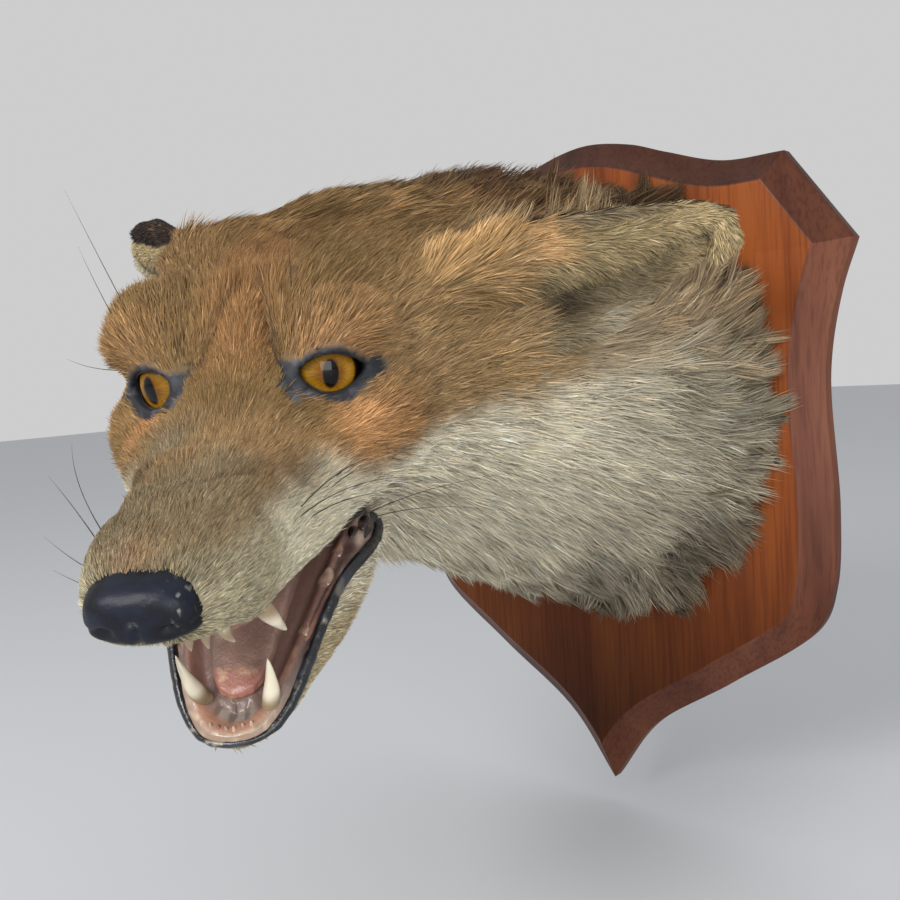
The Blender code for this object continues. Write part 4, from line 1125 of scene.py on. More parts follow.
face_how = (head_uv, plain_colour, plain_lie, plain_form)
neck_how = (neck_uv, plain_colour, plain_lie, plain_form)
ear_how = (ear_uv, ear_colour, ear_lie, ear_form)
group("coat_muzzle", muzzle_set, 65500, SHORT, *face_how, seed=11)
group("coat_jaw", jaw_set, 16000, SHORT, *face_how, seed=12)
group("coat_face_left", face_set & (l_m > 12), 64000, SHORT, *face_how, seed=13)
group("coat_face_right", face_set & (l_m < -12), 40000, SHORT, *face_how, seed=14)
group("coat_brow", face_set & (np.abs(l_m) <= 12) & (u_m > -20), 46000, SHORT, *face_how, seed=15)
group("coat_throat", face_set & (np.abs(l_m) <= 12) & (u_m <= -20), 9000, LONG, *face_how, seed=16)
group("coat_ears", ear_set, 36000, SHORT, *ear_how, seed=17)
ang = np.arctan2(mid[:, 0] - column(NECK_T, y_m, 1), mid[:, 2] - column(NECK_T, y_m, 2))
group("coat_neck_left", neck_set & (ang > 0.9) & (ang < 2.3), 39000, LONG, *neck_how, seed=18)
group("coat_neck_top", neck_set & (np.abs(ang) <= 0.9), 28000, LONG, *neck_how, seed=19)
group("coat_neck_right", neck_set & (ang < -0.9) & (ang > -2.3), 26000, LONG, *neck_how, seed=20)
group("coat_neck_under", neck_set & (np.abs(ang) >= 2.3), 25000, LONG, *neck_how, seed=21)

for name, pick, count, how, seed in groups:
    coat_piece(name, pick, count, *how, seed=seed)


# ------------------------------------------------------------------ small forms
def loft_rings(rings, close_ends=True):
    """Vertices and faces of a tube through equal rings of points."""
    rings = np.asarray(rings, float)
    k, n = rings.shape[:2]
    v = rings.reshape(-1, 3)
    i = np.arange(n)
    quads_ = []
    for r in range(k - 1):
        quads_.append(np.stack([r * n + i, r * n + (i + 1) % n, (r + 1) * n + (i + 1) % n, (r + 1) * n + i], 1))
    faces = [np.concatenate(quads_)]
    if close_ends:
        v = np.vstack([v, rings[0].mean(0), rings[-1].mean(0)])
        a, b = len(v) - 2, len(v) - 1
        faces.append(np.concatenate([np.stack([(i + 1) % n, i, np.full(n, a)], 1),
                                     np.stack([(k - 1) * n + i, (k - 1) * n + (i + 1) % n, np.full(n, b)], 1)]))
    return v, faces


def merge(parts):
    """Join several (vertices, faces) into one."""
    vs, quads_, tris_, off = [], [], [], 0
    for v, faces in parts:
        vs.append(v)
        for f in faces:
            (quads_ if f.shape[1] == 4 else tris_).append(f + off)
        off += len(v)
    out = []
    if quads_:
        out.append(np.concatenate(quads_))
    if tris_:
        out.append(np.concatenate(tris_))
    return np.concatenate(vs), out


def outward(obj):
    """Turn a closed form's faces outwards."""
    import bmesh
    bm = bmesh.new()
    bm.from_mesh(obj.data)
    bmesh.ops.recalc_face_normals(bm, faces=bm.faces[:])
    bm.to_mesh(obj.data)
    bm.free()


# glass eyes
for side, word in ((1, "left"), (-1, "right")):
    centre, look, out, upv = eye_frame(side)
    nu, nv = 96, 90
    th = np.concatenate([np.linspace(0.0, 0.95, 62), np.linspace(0.97, np.pi, nv - 62)])
    ph = np.linspace(0, 2 * np.pi, nu, endpoint=False)
    TH, PH = np.meshgrid(th, ph, indexing="ij")
    x, z, dpt = np.sin(TH) * np.cos(PH), np.sin(TH) * np.sin(PH), np.cos(TH)
    r = EYE_R + 0.0 * TH
    local = np.stack([dpt * r, x * r, z * r], -1)
    pts = centre + local[..., :1] * look + local[..., 1:2] * out + local[..., 2:] * upv
    v, faces = loft_rings(to_world(pts.reshape(-1, 3)).reshape(nv, nu, 3), close_ends=True)
    ball_obj = mesh_object("glass_eye_" + word, v, faces, EYE)
    outward(ball_obj)
    xx, zz = (x * EYE_R).ravel(), (z * EYE_R).ravel()
    rad = np.hypot(xx, zz)
    angle = PH.ravel()
    streak = 0.5 + 0.5 * np.sin(angle * 37 + 3 * noise(np.stack([xx, zz, 0 * xx], 1), 1.2))
    streak = 0.6 * streak + 0.4 * (noise(np.stack([angle * 9, rad * 0.7, 0 * xx], 1), 1.0) * 0.5 + 0.5)
    iris = mix(srgb(212, 156, 34), srgb(150, 88, 10), streak * 0.85)
    iris = mix(iris, srgb(96, 42, 8), smooth(rad, 4.6, 2.4) * (0.45 + 0.55 * streak))
    iris = mix(iris, srgb(214, 160, 52), 0.45 * bump(rad, 5.2, 1.1))
    iris = mix(iris, srgb(34, 18, 6), smooth(rad, 6.1, 7.1))
    # painted shade: the iris darkens towards the top, under the upper lid
    iris = 0.62 * iris * (1 - 0.55 * smooth(zz, 0.5, 4.5))[:, None]
    # painted shade: the iris darkens towards its inner side
    iris = iris * (1 - 0.42 * smooth(xx, -0.8, -4.8))[:, None]
    slit = np.sqrt((xx / 1.95) ** 2 + (zz / 3.5) ** 2)
    pupil = smooth(slit + 0.1 * (streak - 0.5), 1.15, 0.88) * (dpt.ravel() > 0)
    iris = mix(iris, srgb(4, 4, 5), pupil)
    iris = mix(iris, srgb(20, 14, 8), (dpt.ravel() < 0.55).astype(float))
    paint(ball_obj, np.vstack([iris, iris[:1], iris[-1:]]))
    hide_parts("eye_" + word)
    # the lids' leathery edge, an almond ring that lies on the glass
    n = 96
    t = np.linspace(0, 2 * np.pi, n, endpoint=False)
    xs = 1.1 - 8.5 * np.cos(t)
    hi, lo = lid_edges(np.clip(xs, -7.39, 9.59))
    zs_ = np.where(t < np.pi, hi, lo)
    rings = []
    for g in range(n):
        a = t[g]
        edge2 = np.array([xs[g], zs_[g]])
        nxt = np.array([xs[(g + 1) % n], zs_[(g + 1) % n]]) - np.array([xs[g - 1], zs_[g - 1]])
        away = unit(np.array([nxt[1], -nxt[0]]))
        if away @ (edge2 - np.array([1.1, 0.0])) < 0:
            away = -away
        ring = []
        for k in range(10):
            b = 2 * math.pi * k / 10
            q = edge2 + away * (0.45 + 0.75 * math.cos(b))
            rr = math.hypot(*q)
            d0 = math.sqrt(max((EYE_R + 0.55) ** 2 - rr * rr, 0.3))
            lift_ = 0.62 * math.sin(b)
            ring.append(centre + look * (d0 + lift_) + out * q[0] + upv * q[1])
        rings.append(to_world(np.array(ring)))
    rings.append(rings[0])
    v, faces = loft_rings(rings, close_ends=False)
    rim = mesh_object("lid_rim_" + word, v, faces, LEATHER)
    outward(rim)
    paint(rim, mix(srgb(10, 11, 14), srgb(40, 43, 52), smooth(fbm(v, 2.0), -0.1, 0.8)))

# nose pad: broad, leathery, with comma-shaped nostrils
nose_at = np.array([71.3, -1.1, -17.3])
nu, nv = 120, 70
th = np.linspace(0.0, np.pi, nv)
ph = np.linspace(0, 2 * np.pi, nu, endpoint=False)
TH, PH = np.meshgrid(th, ph, indexing="ij")


def spow(v, p):
    return np.sign(v) * np.abs(v) ** p


fx = spow(np.cos(TH), 0.85) * np.where(np.cos(TH) > 0, 6.8, 9.0)
lx = spow(np.sin(TH), 0.55) * spow(np.cos(PH), 0.62) * 11.5
ux = spow(np.sin(TH), 0.55) * spow(np.sin(PH), 0.62) * 5.9
ux = ux + np.where(ux < 0, -0.9, 0.0) * np.exp(-(lx / 5.0) ** 2)
lx = lx * (1 - 0.022 * ux)
ux = ux - 0.10 * fx
pt = np.stack([fx, lx, ux], -1)
flat = pt.reshape(-1, 3)
nrm = unit(flat / np.array([7.5, 11.4, 5.9]) ** 2)
dent = np.zeros(len(flat))
for side in (1, -1):
    e = flat - np.array([3.8, side * 6.4, -3.0])
    dent += 3.0 * np.exp(-((e / np.array([3.2, 1.8, 1.2])) ** 2).sum(1))
    e = flat - np.array([1.0, side * 9.8, -2.8])
    dent += 1.6 * np.exp(-((e / np.array([3.2, 2.6, 0.8])) ** 2).sum(1))
dent += 0.7 * np.exp(-((flat[:, 1] / 0.75) ** 2)) * smooth(flat[:, 2], 1.5, -3.0) * smooth(flat[:, 0], 0, 3)
dent += 0.10 * fbm(flat, 2.6) + 0.05 * noise(flat, 0.8)
flat = flat - nrm * dent[:, None]
v, faces = loft_rings(to_world(nose_at + flat).reshape(nv, nu, 3))
nose = mesh_object("nose", v, faces, NOSE)
outward(nose)
# painted shade: the nostrils darken with the depth of their dent
deep = smooth(dent, 0.9, 2.4)
tone = mix(srgb(8, 11, 19), srgb(17, 23, 37), smooth(fbm(flat, 4.0), -0.3, 0.5))
tone = mix(tone, srgb(4, 4, 6), deep)
chips = smooth(noise(flat + 9, 1.1), 0.62, 0.8) * np.exp(-(((flat - np.array([3, 7.5, 1])) / np.array([6, 3.4, 3.0])) ** 2).sum(1))
tone = mix(tone, srgb(150, 150, 140), 0.8 * chips)
paint(nose, np.vstack([tone, tone[:1], tone[-1:]]))
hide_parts("nose_pad")


# ------------------------------------------------------------------- the mouth
def tube_along(path, radii_a, radii_b, lift_dir, around=14):
    """Flattened tube: half width radii_a across, half height radii_b along lift_dir."""
    path = np.asarray(path, float)
    rings = []
    for k in range(len(path)):
        run = unit(path[min(k + 1, len(path) - 1)] - path[max(k - 1, 0)])
        upd = lift_dir[k] if np.ndim(lift_dir) > 1 else np.asarray(lift_dir, float)
        upd = unit(upd - run * (upd @ run))
        side_ = np.cross(run, upd)
        b = np.linspace(0, 2 * np.pi, around, endpoint=False)
        rings.append(path[k] + side_ * (radii_a[k] * np.cos(b))[:, None] + upd * (radii_b[k] * np.sin(b))[:, None])
    return rings


def arc(rows, per=10, inset=0.0):
    """Smooth path in head axes through (F, L) rows on the left, mirrored to the right."""
    line = np.array([(f, l) for f, l in rows] + [(f, -l) for f, l in rows[::-1] if l > 0], float)
    ends = np.vstack([2 * line[0] - line[1], line, 2 * line[-1] - line[-2]])
    out = []
    for k in range(1, len(ends) - 2):
        p0, p1, p2, p3 = ends[k - 1:k + 3]
        for t in np.arange(per) / per:
            out.append(0.5 * (2 * p1 + (p2 - p0) * t + (2 * p0 - 5 * p1 + 4 * p2 - p3) * t ** 2
                              + (3 * p1 - p0 - 3 * p2 + p3) * t ** 3))
    out.append(line[-1])
    return np.array(out)


def resample(rows, count):
    """Even steps along a polyline, rounded by Catmull-Rom first."""
    rows = np.array(rows, float)
    ends = np.vstack([2 * rows[0] - rows[1], rows, 2 * rows[-1] - rows[-2]])
    fine_ = []
    for k in range(1, len(ends) - 2):
        p0, p1, p2, p3 = ends[k - 1:k + 3]
        for t in np.arange(12) / 12:
            fine_.append(0.5 * (2 * p1 + (p2 - p0) * t + (2 * p0 - 5 * p1 + 4 * p2 - p3) * t ** 2
                                + (3 * p1 - p0 - 3 * p2 + p3) * t ** 3))
    fine_ = np.array(fine_ + [rows[-1]])
    run = np.concatenate([[0], np.cumsum(np.linalg.norm(np.diff(fine_, axis=0), axis=1))])
    at = np.linspace(0, run[-1], count)
    return np.stack([np.interp(at, run, fine_[:, c]) for c in range(rows.shape[1])], 1)


def both_sides(half_):
    """Mirror a left half, from the corner to the front, on to the right."""
    other = half_[-2::-1].copy()
    other[:, 1] *= -1
    return np.vstack([half_, other])


# black rim of the lower lip
path = both_sides(resample(RIM_LOW, 90))
w_side = 0.75 + 0.75 * smooth(path[:, 0], 56.5, 47) + 0.25 * smooth(path[:, 0], 14, 4)
w_side = w_side * (1 + 0.22 * fbm(path + 3, 4.0) + 0.12 * noise(path, 1.6))
ends_ = np.minimum(1, np.minimum(np.arange(len(path)), np.arange(len(path))[::-1]) / 6 + 0.25)
lifts = np.stack([np.full(len(path), 0.3), np.sign(path[:, 1]) * -0.55 * smooth(np.abs(path[:, 1]), 0, 8), np.ones(len(path))], 1)
rings = tube_along(to_world(path), 0.75 * w_side * ends_, 1.0 * w_side * ends_, unit(lifts) @ AXES, 14)
v, faces = loft_rings(rings)
v = v + unit(v - v.mean(0)) * (0.14 * noise(v, 1.4))[:, None]
lip = mesh_object("lip_lower", v, faces, LIP)
outward(lip)
tone = mix(srgb(14, 16, 21), srgb(46, 52, 62), smooth(fbm(v, 4.0), 0.0, 0.7))
tone = mix(tone, srgb(150, 142, 126), 0.75 * smooth(noise(v, 1.7), 0.5, 0.72) * smooth(to_head(v)[:, 0], 20, 40))
paint(lip, tone)

# dark inner edge of the upper lip, from the corner to the canine
def lip_half(f, u):
    """Half width of the skin of the upper lip at height u."""
    depth = column(HEAD_T, f, 6)
    wide_, top_, low_ = column(HEAD_T, f, 2) - depth, column(HEAD_T, f, 3) - depth, column(HEAD_T, f, 4) + depth
    power = column(HEAD_T, f, 5)
    share = np.clip(np.abs(u - 0.5 * (top_ + low_)) / (0.5 * (top_ - low_)), 0, 0.999)
    return wide_ * (1 - share ** power) ** (1 / power)


edge_rows = [(3.0, 24.6, MOUTH_CORNER[1] - 0.4), (10, 27.0, 0), (20, 23.2, 0), (30, 18.6, 0), (40, 15.2, 0), (50, 13.6, 0), (57, 11.6, 0)]
half_ = resample([(f, l if f < 9 else lip_half(f, lip_edge(f) + 1.0) - 1.0, u if u else lip_edge(f) + 0.8) for f, l, u in edge_rows], 60)
parts = []
for side in (1, -1):
    path = half_ * [1, side, 1]
    r_ = 0.95 * np.interp(path[:, 0], [3, 20, 45, 57], [1.2, 1.0, 0.8, 0.3]) * (1 + 0.25 * fbm(path, 4.0))
    parts.append(loft_rings(tube_along(to_world(path), r_, r_ * 0.9, turn((0, 0, 1)))))
v, faces = merge(parts)
lip = mesh_object("lip_upper", v, faces, LIP)
outward(lip)
paint(lip, mix(srgb(30, 20, 18), srgb(84, 56, 46), smooth(fbm(v, 4.0), -0.1, 0.7)))

# corners of the mouth: dark folded skin
parts = []
for side in (1, -1):
    for f0, f1, l0, l1, u0, u1, r0 in ((11, 1, 25.5, 24.5, -38.0, -38.6, 1.7), (15, 3, 23.5, 22.5, -37.8, -39.6, 1.5),
                                       (12, 2, 25.0, 25.2, -40.8, -40.6, 1.3)):
        t = np.linspace(0, 1, 16)
        path = np.stack([f0 + (f1 - f0) * t, side * (l0 + (l1 - l0) * t), u0 + (u1 - u0) * t + 0.5 * np.sin(5 * t)], 1)
        r = r0 * np.sqrt(np.clip(1 - (2 * t - 1) ** 2, 0.05, 1)) * (1 + 0.25 * noise(path, 3.0))
        parts.append(loft_rings(tube_along(to_world(path), r, r * 0.8, turn((0, 0, 1)))))
v, faces = merge(parts)
folds = mesh_object("mouth_corner_folds", v, faces, LIP)
outward(folds)
paint(folds, mix(srgb(28, 20, 19), srgb(110, 84, 78), smooth(fbm(v, 4.0), 0.0, 0.8)))


def floor_u(f):
    return MOUTH_CORNER[1] - 2.0 + JAW_SLOPE * (f - MOUTH_CORNER[0])


def gum_arch(name, rows, u_of, low_, high_, width):
    rim_ = arc([(f, l) for f, l, _ in rows])
    mid_, half = 0.5 * (low_ + high_), 0.5 * (high_ - low_)
    path_ = np.stack([rim_[:, 0], rim_[:, 1], u_of(rim_[:, 0]) + mid_], 1)
    n_ = len(path_)
    scallop = 0.25 * np.sin(np.arange(n_) * 1.25)
    rings_ = tube_along(to_world(path_), np.full(n_, width) + scallop, np.full(n_, half) + 0.2 * scallop, turn((0.1, 0, 1)), 18)
    v_, faces_ = loft_rings(rings_)
    v_ = v_ + unit(v_ - v_.mean(0)) * (0.3 * fbm(v_, 3.0))[:, None]
    g = mesh_object(name, v_, faces_, GUM)
    outward(g)
    tone_ = mix(srgb(128, 88, 76), srgb(186, 140, 118), smooth(fbm(v_, 5.0), -0.3, 0.5))
    tone_ = mix(tone_, srgb(108, 98, 94), 0.6 * smooth(fbm(v_ + 40, 8.0), 0.0, 0.6))
    paint(g, tone_)
    return g


def tooth(root, tip, radius, bend=(0, 0, 0), flat_=1.0, around=16, steps=14):
    root, tip, bend = np.array(root, float), np.array(tip, float), np.array(bend, float)
    axis = unit(tip - root)
    side_ = unit(np.cross(axis, [1.0, 0, 0.2]))
    other = np.cross(axis, side_)
    rings_ = []
    for k in range(steps + 1):
        t = k / steps
        r_ = radius * (1 - t ** 1.5) ** 0.75 * (1 + 0.12 * math.sin(math.pi * min(t * 1.6, 1))) + 0.06
        c_ = root + (tip - root) * t + bend * (4 * t * (1 - t))
        b = np.linspace(0, 2 * np.pi, around, endpoint=False)
        rings_.append(to_world(c_ + side_ * (r_ * flat_ * np.cos(b))[:, None] + other * (r_ * np.sin(b))[:, None]))
    return loft_rings(rings_)


UPPER_ARCH = [(20, 16.0, 1.6), (32, 13.0, 1.8), (44, 11.0, 2.2), (54, 10.0, 2.6), (61, 7.0, 2.8), (63.5, 0.0, 2.6)]
gum_up = gum_arch("gums_upper", UPPER_ARCH, lambda f: upper_lip(f) + 2.2 * smooth(f, 56, 64), -2.2, 2.4, 2.4)
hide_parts("gums_teeth_upper")

# lining of the lower jaw: rolled lip, gum, and the floor inside the arch
half_rim = resample(RIM_LOW[1:], 100)
half_gum = resample([(-1, 22.5), (8, 21.6), (16, 19.2), (26, 16.2), (36, 13.4), (45, 10.6), (51.0, 7.2), (54.0, 3.6), (54.8, 0.0)], 100)
run = unit(np.gradient(half_gum, axis=0))
run[-1] = (0, -1)
out_n = np.stack([-run[:, 1], run[:, 0]], 1)
crest = floor_u(half_gum[:, 0]) + 0.9 + 1.9 * smooth(half_gum[:, 0], 54, 44)


def row_at(off, rise_):
    fl = half_gum + out_n * off
    fl[:, 1] = np.maximum(fl[:, 1], 0)
    return np.stack([fl[:, 0], fl[:, 1], rise_ if np.ndim(rise_) else np.full(len(fl), rise_)], 1)


base_floor = floor_u(half_gum[:, 0])
outer = row_at(1.9, crest - 0.7)
rows = [half_rim, 0.55 * half_rim + 0.45 * outer + [0, 0, 0.45], outer, row_at(0.2, crest), row_at(-2.3, base_floor + 0.7),
        row_at(-4.6, base_floor + 1.3)]
inner = rows[-1].copy()
for share_, drop in ((0.55, 0.1), (0.25, 0.2), (0.0, 0.2)):
    r_ = inner.copy()
    r_[:, 1] *= share_
    r_[:, 0] -= 1.5 * (1 - share_)
    r_[:, 2] = floor_u(r_[:, 0]) + 0.6 - drop
    rows.append(r_)
rows = np.stack([both_sides(r_) for r_ in rows])
at = np.linspace(0, len(rows) - 1, 44)
k0 = np.minimum(at.astype(int), len(rows) - 2)
tt = (at - k0)[:, None, None]
pad = np.concatenate([rows[:1], rows, rows[-1:]])
m0, m1 = 0.5 * (pad[k0 + 2] - pad[k0]), 0.5 * (pad[np.minimum(k0 + 3, len(pad) - 1)] - pad[k0 + 1])
sheet_ = (2 * tt ** 3 - 3 * tt ** 2 + 1) * rows[k0] + (tt ** 3 - 2 * tt ** 2 + tt) * m0 \
    + (-2 * tt ** 3 + 3 * tt ** 2) * rows[k0 + 1] + (tt ** 3 - tt ** 2) * m1
nr, nc = sheet_.shape[:2]
row_no = np.repeat(at, nc)
g0 = sheet_.reshape(-1, 3)
side_zone = smooth(g0[:, 0], 44, 34)
lump = 1.1 * smooth(fbm(g0 + 11, 6.5, 2), 0.0, 0.5) * bump(row_no, 1.5, 0.9) * side_zone
ripple = 0.22 * np.sin(np.arctan2(g0[:, 1], np.abs(g0[:, 0] - 38) + 2) * 26 + 2 * fbm(g0, 5.0)) * smooth(g0[:, 0], 44, 50) * bump(row_no, 4.8, 1.4)
g0[:, 2] += lump + ripple + 0.16 * fbm(g0, 1.8) * (row_no > 0.4)
i, j = np.meshgrid(np.arange(nr - 1), np.arange(nc - 1), indexing="ij")
a = (i * nc + j).ravel()
v = to_world(g0)
lining_obj = mesh_object("mouth_lining_lower", v, np.stack([a, a + 1, a + nc + 1, a + nc], 1), GUM)
front_zone = smooth(g0[:, 0], 46, 53)
lip_tone = mix(mix(srgb(104, 86, 80), srgb(182, 158, 140), smooth(fbm(g0 + 11, 6.5, 2), -0.05, 0.45)),
               srgb(142, 120, 103), front_zone)
lip_tone = mix(lip_tone, srgb(78, 50, 50), 0.75 * smooth(noise(g0 + 5, 3.4), 0.1, 0.6) * side_zone)
lip_tone = mix(lip_tone, srgb(188, 164, 140), 0.55 * smooth(noise(g0 + 21, 1.6), 0.1, 0.7) * front_zone)
gum_tone = mix(srgb(118, 86, 76), srgb(152, 112, 92), np.maximum(front_zone, smooth(fbm(g0, 4.0), 0, 0.6)))
# the floor is darker in the troughs of its ripples: painted shade
floor_tone = mix(srgb(106, 80, 72), mix(srgb(132, 122, 114), srgb(92, 84, 78), smooth(ripple, 0.02, -0.12)), front_zone)
tone = mix(lip_tone, gum_tone, smooth(row_no + 0.25 * fbm(g0, 2.5), 2.0, 2.7))
tone = mix(tone, floor_tone, smooth(row_no + 0.3 * fbm(g0, 2.0), 3.3, 4.1))
tone = mix(tone, srgb(20, 22, 28), smooth(row_no + 0.3 * fbm(g0, 2.0), 0.55, 0.2))
# painted shade: the lining darkens towards the back of the mouth
tone = tone * (1 - 0.6 * smooth(g0[:, 0], 16, 4))[:, None]
paint(lining_obj, tone)
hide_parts("gums_teeth_lower")

up_teeth, low_teeth = [], []
for side in (1, -1):
    up_teeth.append(tooth((53.6, side * 12.6, -30.2), (49.9, side * 15.9, -39.9), 1.95, bend=(0.9, side * 0.5, 0)))
    up = 0.0 if side > 0 else 2.0
    up_teeth.append(tooth((64.2, side * 8.8, -28.4), (63.4, side * 10.3, -32.9 + up), 1.55, bend=(0.4, 0, 0), flat_=0.8))
    up_teeth.append(tooth((65.4, side * 5.6, -28.8), (65.6, side * 5.6, -32.7 + up), 1.25, flat_=0.75))
    up_teeth.append(tooth((66.0, side * 2.4, -29.2), (66.2, side * 2.2, -32.6 + 0.6 * up), 1.15, flat_=0.75))
    low_teeth.append(tooth((49.9, 8.0, -59.5) if side > 0 else (47.4, -7.6, -59.0),
                           (50.5, 10.3, -46.4) if side > 0 else (49.7, -10.5, -44.9), 1.95,
                           bend=(0.6, 0.7, 0) if side > 0 else (1.5, 0.2, 0)))
    for k in range(3):
        f, l = 55.0 - 0.5 * k, 0.9 + 1.9 * k
        low_teeth.append(tooth((f, side * l, floor_u(f) - 0.2), (f + 0.3, side * l, floor_u(f) + 1.9), 0.8, flat_=0.85, steps=7))
    for f, l, hgt, r_ in ((39, 12.8, 2.0, 2.0), (33.5, 14.2, 2.9, 2.8), (28.0, 15.8, 2.2, 2.2), (21.5, 17.9, 3.6, 3.4), (14.5, 19.8, 2.8, 2.8), (9.0, 21.2, 2.4, 2.4)):
        low_teeth.append(tooth((f + 0.8, side * l, floor_u(f) - 0.6), (f - 0.8, side * (l + 0.5), floor_u(f) + hgt), r_, flat_=0.75))
for name, parts in (("teeth_upper", up_teeth), ("teeth_lower", low_teeth)):
    v, faces = merge(parts)
    obj = mesh_object(name, v, faces, TOOTH)
    outward(obj)
    hh = to_head(v)
    base_u = upper_lip(hh[:, 0]) if name == "teeth_upper" else floor_u(hh[:, 0]) + 2.5
    from_gum = np.abs(hh[:, 2] - base_u)
    tone = mix(srgb(146, 124, 96), srgb(226, 216, 192), smooth(from_gum, 0.5, 4.0))
    tone = mix(tone, srgb(124, 104, 78), 0.45 * smooth(noise(v, 3.0), 0.1, 0.8))
    small = ((hh[:, 0] < 43) | (hh[:, 0] > 53.2)) if name == "teeth_lower" else (hh[:, 0] < 46)
    tone = np.where(small[:, None], mix(srgb(172, 146, 126), srgb(124, 92, 82), smooth(noise(v, 2.2), -0.2, 0.5)), tone)
    # the right lower canine and incisors are darker
    right_lower_teeth = (hh[:, 1] < 0) & (hh[:, 0] > 43) & (hh[:, 2] < -40)
    tone = np.where(right_lower_teeth[:, None], tone * 0.72, tone)
    paint(obj, tone)

# tongue: broad, thin, with a shallow groove and a rough tip
rows = [(48.4, 1.5, 0.7), (47.4, 4.0, 1.3), (45.2, 5.9, 1.9), (41.0, 7.2, 2.6), (35.0, 8.2, 3.2), (26.0, 9.6, 3.9),
        (18.0, 11.0, 4.2), (8.0, 12.2, 4.2), (-2.0, 12.0, 3.6)]
rows = np.array(rows)
stations = np.linspace(0, 1, 60) ** 1.0
fs = np.interp(stations, np.linspace(0, 1, len(rows)), rows[:, 0])
hw = np.interp(fs, rows[::-1, 0], rows[::-1, 1])
ht = np.interp(fs, rows[::-1, 0], rows[::-1, 2])
rings = []
for f, w, tall in zip(fs, hw, ht):
    b = np.linspace(0, 2 * np.pi, 48, endpoint=False)
    l = w * spow(np.cos(b), 0.8)
    u = tall * spow(np.sin(b), 0.8)
    u = u - 0.9 * np.exp(-(l / 1.6) ** 2) * (np.sin(b) > 0) * smooth(np.array(44 - f), 0, 6)
    u = u + 0.7 * (np.abs(l) / w) ** 2 * (np.sin(b) > 0)
    rings.append(np.stack([np.full_like(l, f), l, floor_u(f) + 1.2 + u], 1))
pt = np.array(rings).reshape(-1, 3)
pt[:, 2] += 0.22 * fbm(pt, 1.8) + 0.25 * fbm(pt + 20, 5.0)
v, faces = loft_rings(to_world(pt).reshape(len(fs), 48, 3))
tongue = mesh_object("tongue_visual", v, faces, TONGUE)
outward(tongue)
hh = to_head(v)
tone = mix(srgb(118, 92, 82), srgb(146, 116, 104), smooth(fbm(v, 5.0), -0.4, 0.4))
tip_pink = smooth(hh[:, 0] + 0.8 * noise(v, 2.5), 42.5, 45.5)
tone = mix(tone, srgb(150, 98, 86), tip_pink)
tone = mix(tone, srgb(188, 156, 122), tip_pink * smooth(noise(v, 1.5), 0.25, 0.6) * 0.7)
paint(tongue, tone)
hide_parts("tongue")


# ------------------------------------------------------------------- whiskers
def strand(points, r0):
    points = np.asarray(points, float)
    n_ = len(points)
    r_ = np.maximum(r0 * (1 - np.linspace(0, 1, n_)) ** 0.7, 0.02)
    return loft_rings(tube_along(points, r_, r_, np.array([0.0, 0.0, 1.0]), around=6))


parts = []
g = np.random.default_rng(5)
lo_lim = np.array(CAD_BOX[0]) / MM - 7
hi_lim = np.array(CAD_BOX[1]) / MM + 7
whisker_rows = [(34, 21.5, -19.0, 38, (-0.86, 0.44, 0.26), (-0.10, 0.0, -0.40)), (31, 22.5, -20.5, 44, (-0.88, 0.44, 0.16), (-0.10, 0.0, -0.30)),
                (36, 20.5, -21.0, 46, (-0.84, 0.46, 0.12), (-0.05, 0.1, -0.42)), (28, 24.0, -19.5, 36, (-0.90, 0.40, 0.22), (-0.10, 0.0, -0.25)),
                (33, 21.5, -23.0, 34, (-0.86, 0.48, 0.05), (-0.05, 0.1, -0.35)), (9, 28.0, -35.0, 46, (-0.74, 0.66, -0.02), (-0.15, 0.1, -0.22)),
                (7, 29.0, -37.0, 42, (-0.72, 0.66, -0.16), (-0.10, 0.1, -0.30))]
pad_rows = [(57, -15.0, -13.0, 20, (-0.25, -0.45, 0.80), (-0.25, -0.15, -0.30)), (53, -16.0, -12.5, 24, (-0.35, -0.50, 0.78), (-0.35, 0.05, -0.25)),
            (62, -13.0, -17.0, 13, (-0.15, -0.85, 0.35), (-0.2, -0.1, 0.2)), (63, -12.5, -20.0, 11, (-0.1, -0.9, 0.2), (-0.1, -0.1, 0.2))]
pad_rows += [(-14, -31.0, 15.0, 34, (-0.32, -0.39, 0.86), (0.0, 0.0, 0.05)), (-10, -32.0, 11.0, 27, (-0.30, -0.42, 0.84), (0.0, 0.05, 0.05)),
             (-5, -33.0, 4.0, 15, (0.10, -0.98, 0.13), (-0.3, 0.0, 0.1)), (-16, 12.0, 18.0, 16, (-0.25, 0.05, 0.95), (-0.1, 0.0, 0.0))]
rows_ = [(f, side * (l - 2.2), u, n_ * (1 if side > 0 else 0.6), (w_[0], side * w_[1], w_[2]), (d_[0], side * d_[1], d_[2]))
         for side in (1, -1) for f, l, u, n_, w_, d_ in whisker_rows] + pad_rows
for f, l, u, long_, way, droop in rows_:
    long_ = long_ * (0.92 + 0.16 * g.random())
    t = np.linspace(0, 1, 14)
    path = to_world(np.array([f, l, u]) + unit(way) * (long_ * t)[:, None] + np.array(droop) * (long_ * t ** 2)[:, None])
    path = np.clip(path, lo_lim, hi_lim)
    parts.append(strand(path, 0.13))
v, faces = merge(parts)
whiskers = mesh_object("whiskers", v, faces, WHISKER)
outward(whiskers)


# --------------------------------------------------------------------- shield
SHIELD_H, SHIELD_T, EDGE_T, BEVEL_W = 260.0, 14.0, 5.2, 9.8


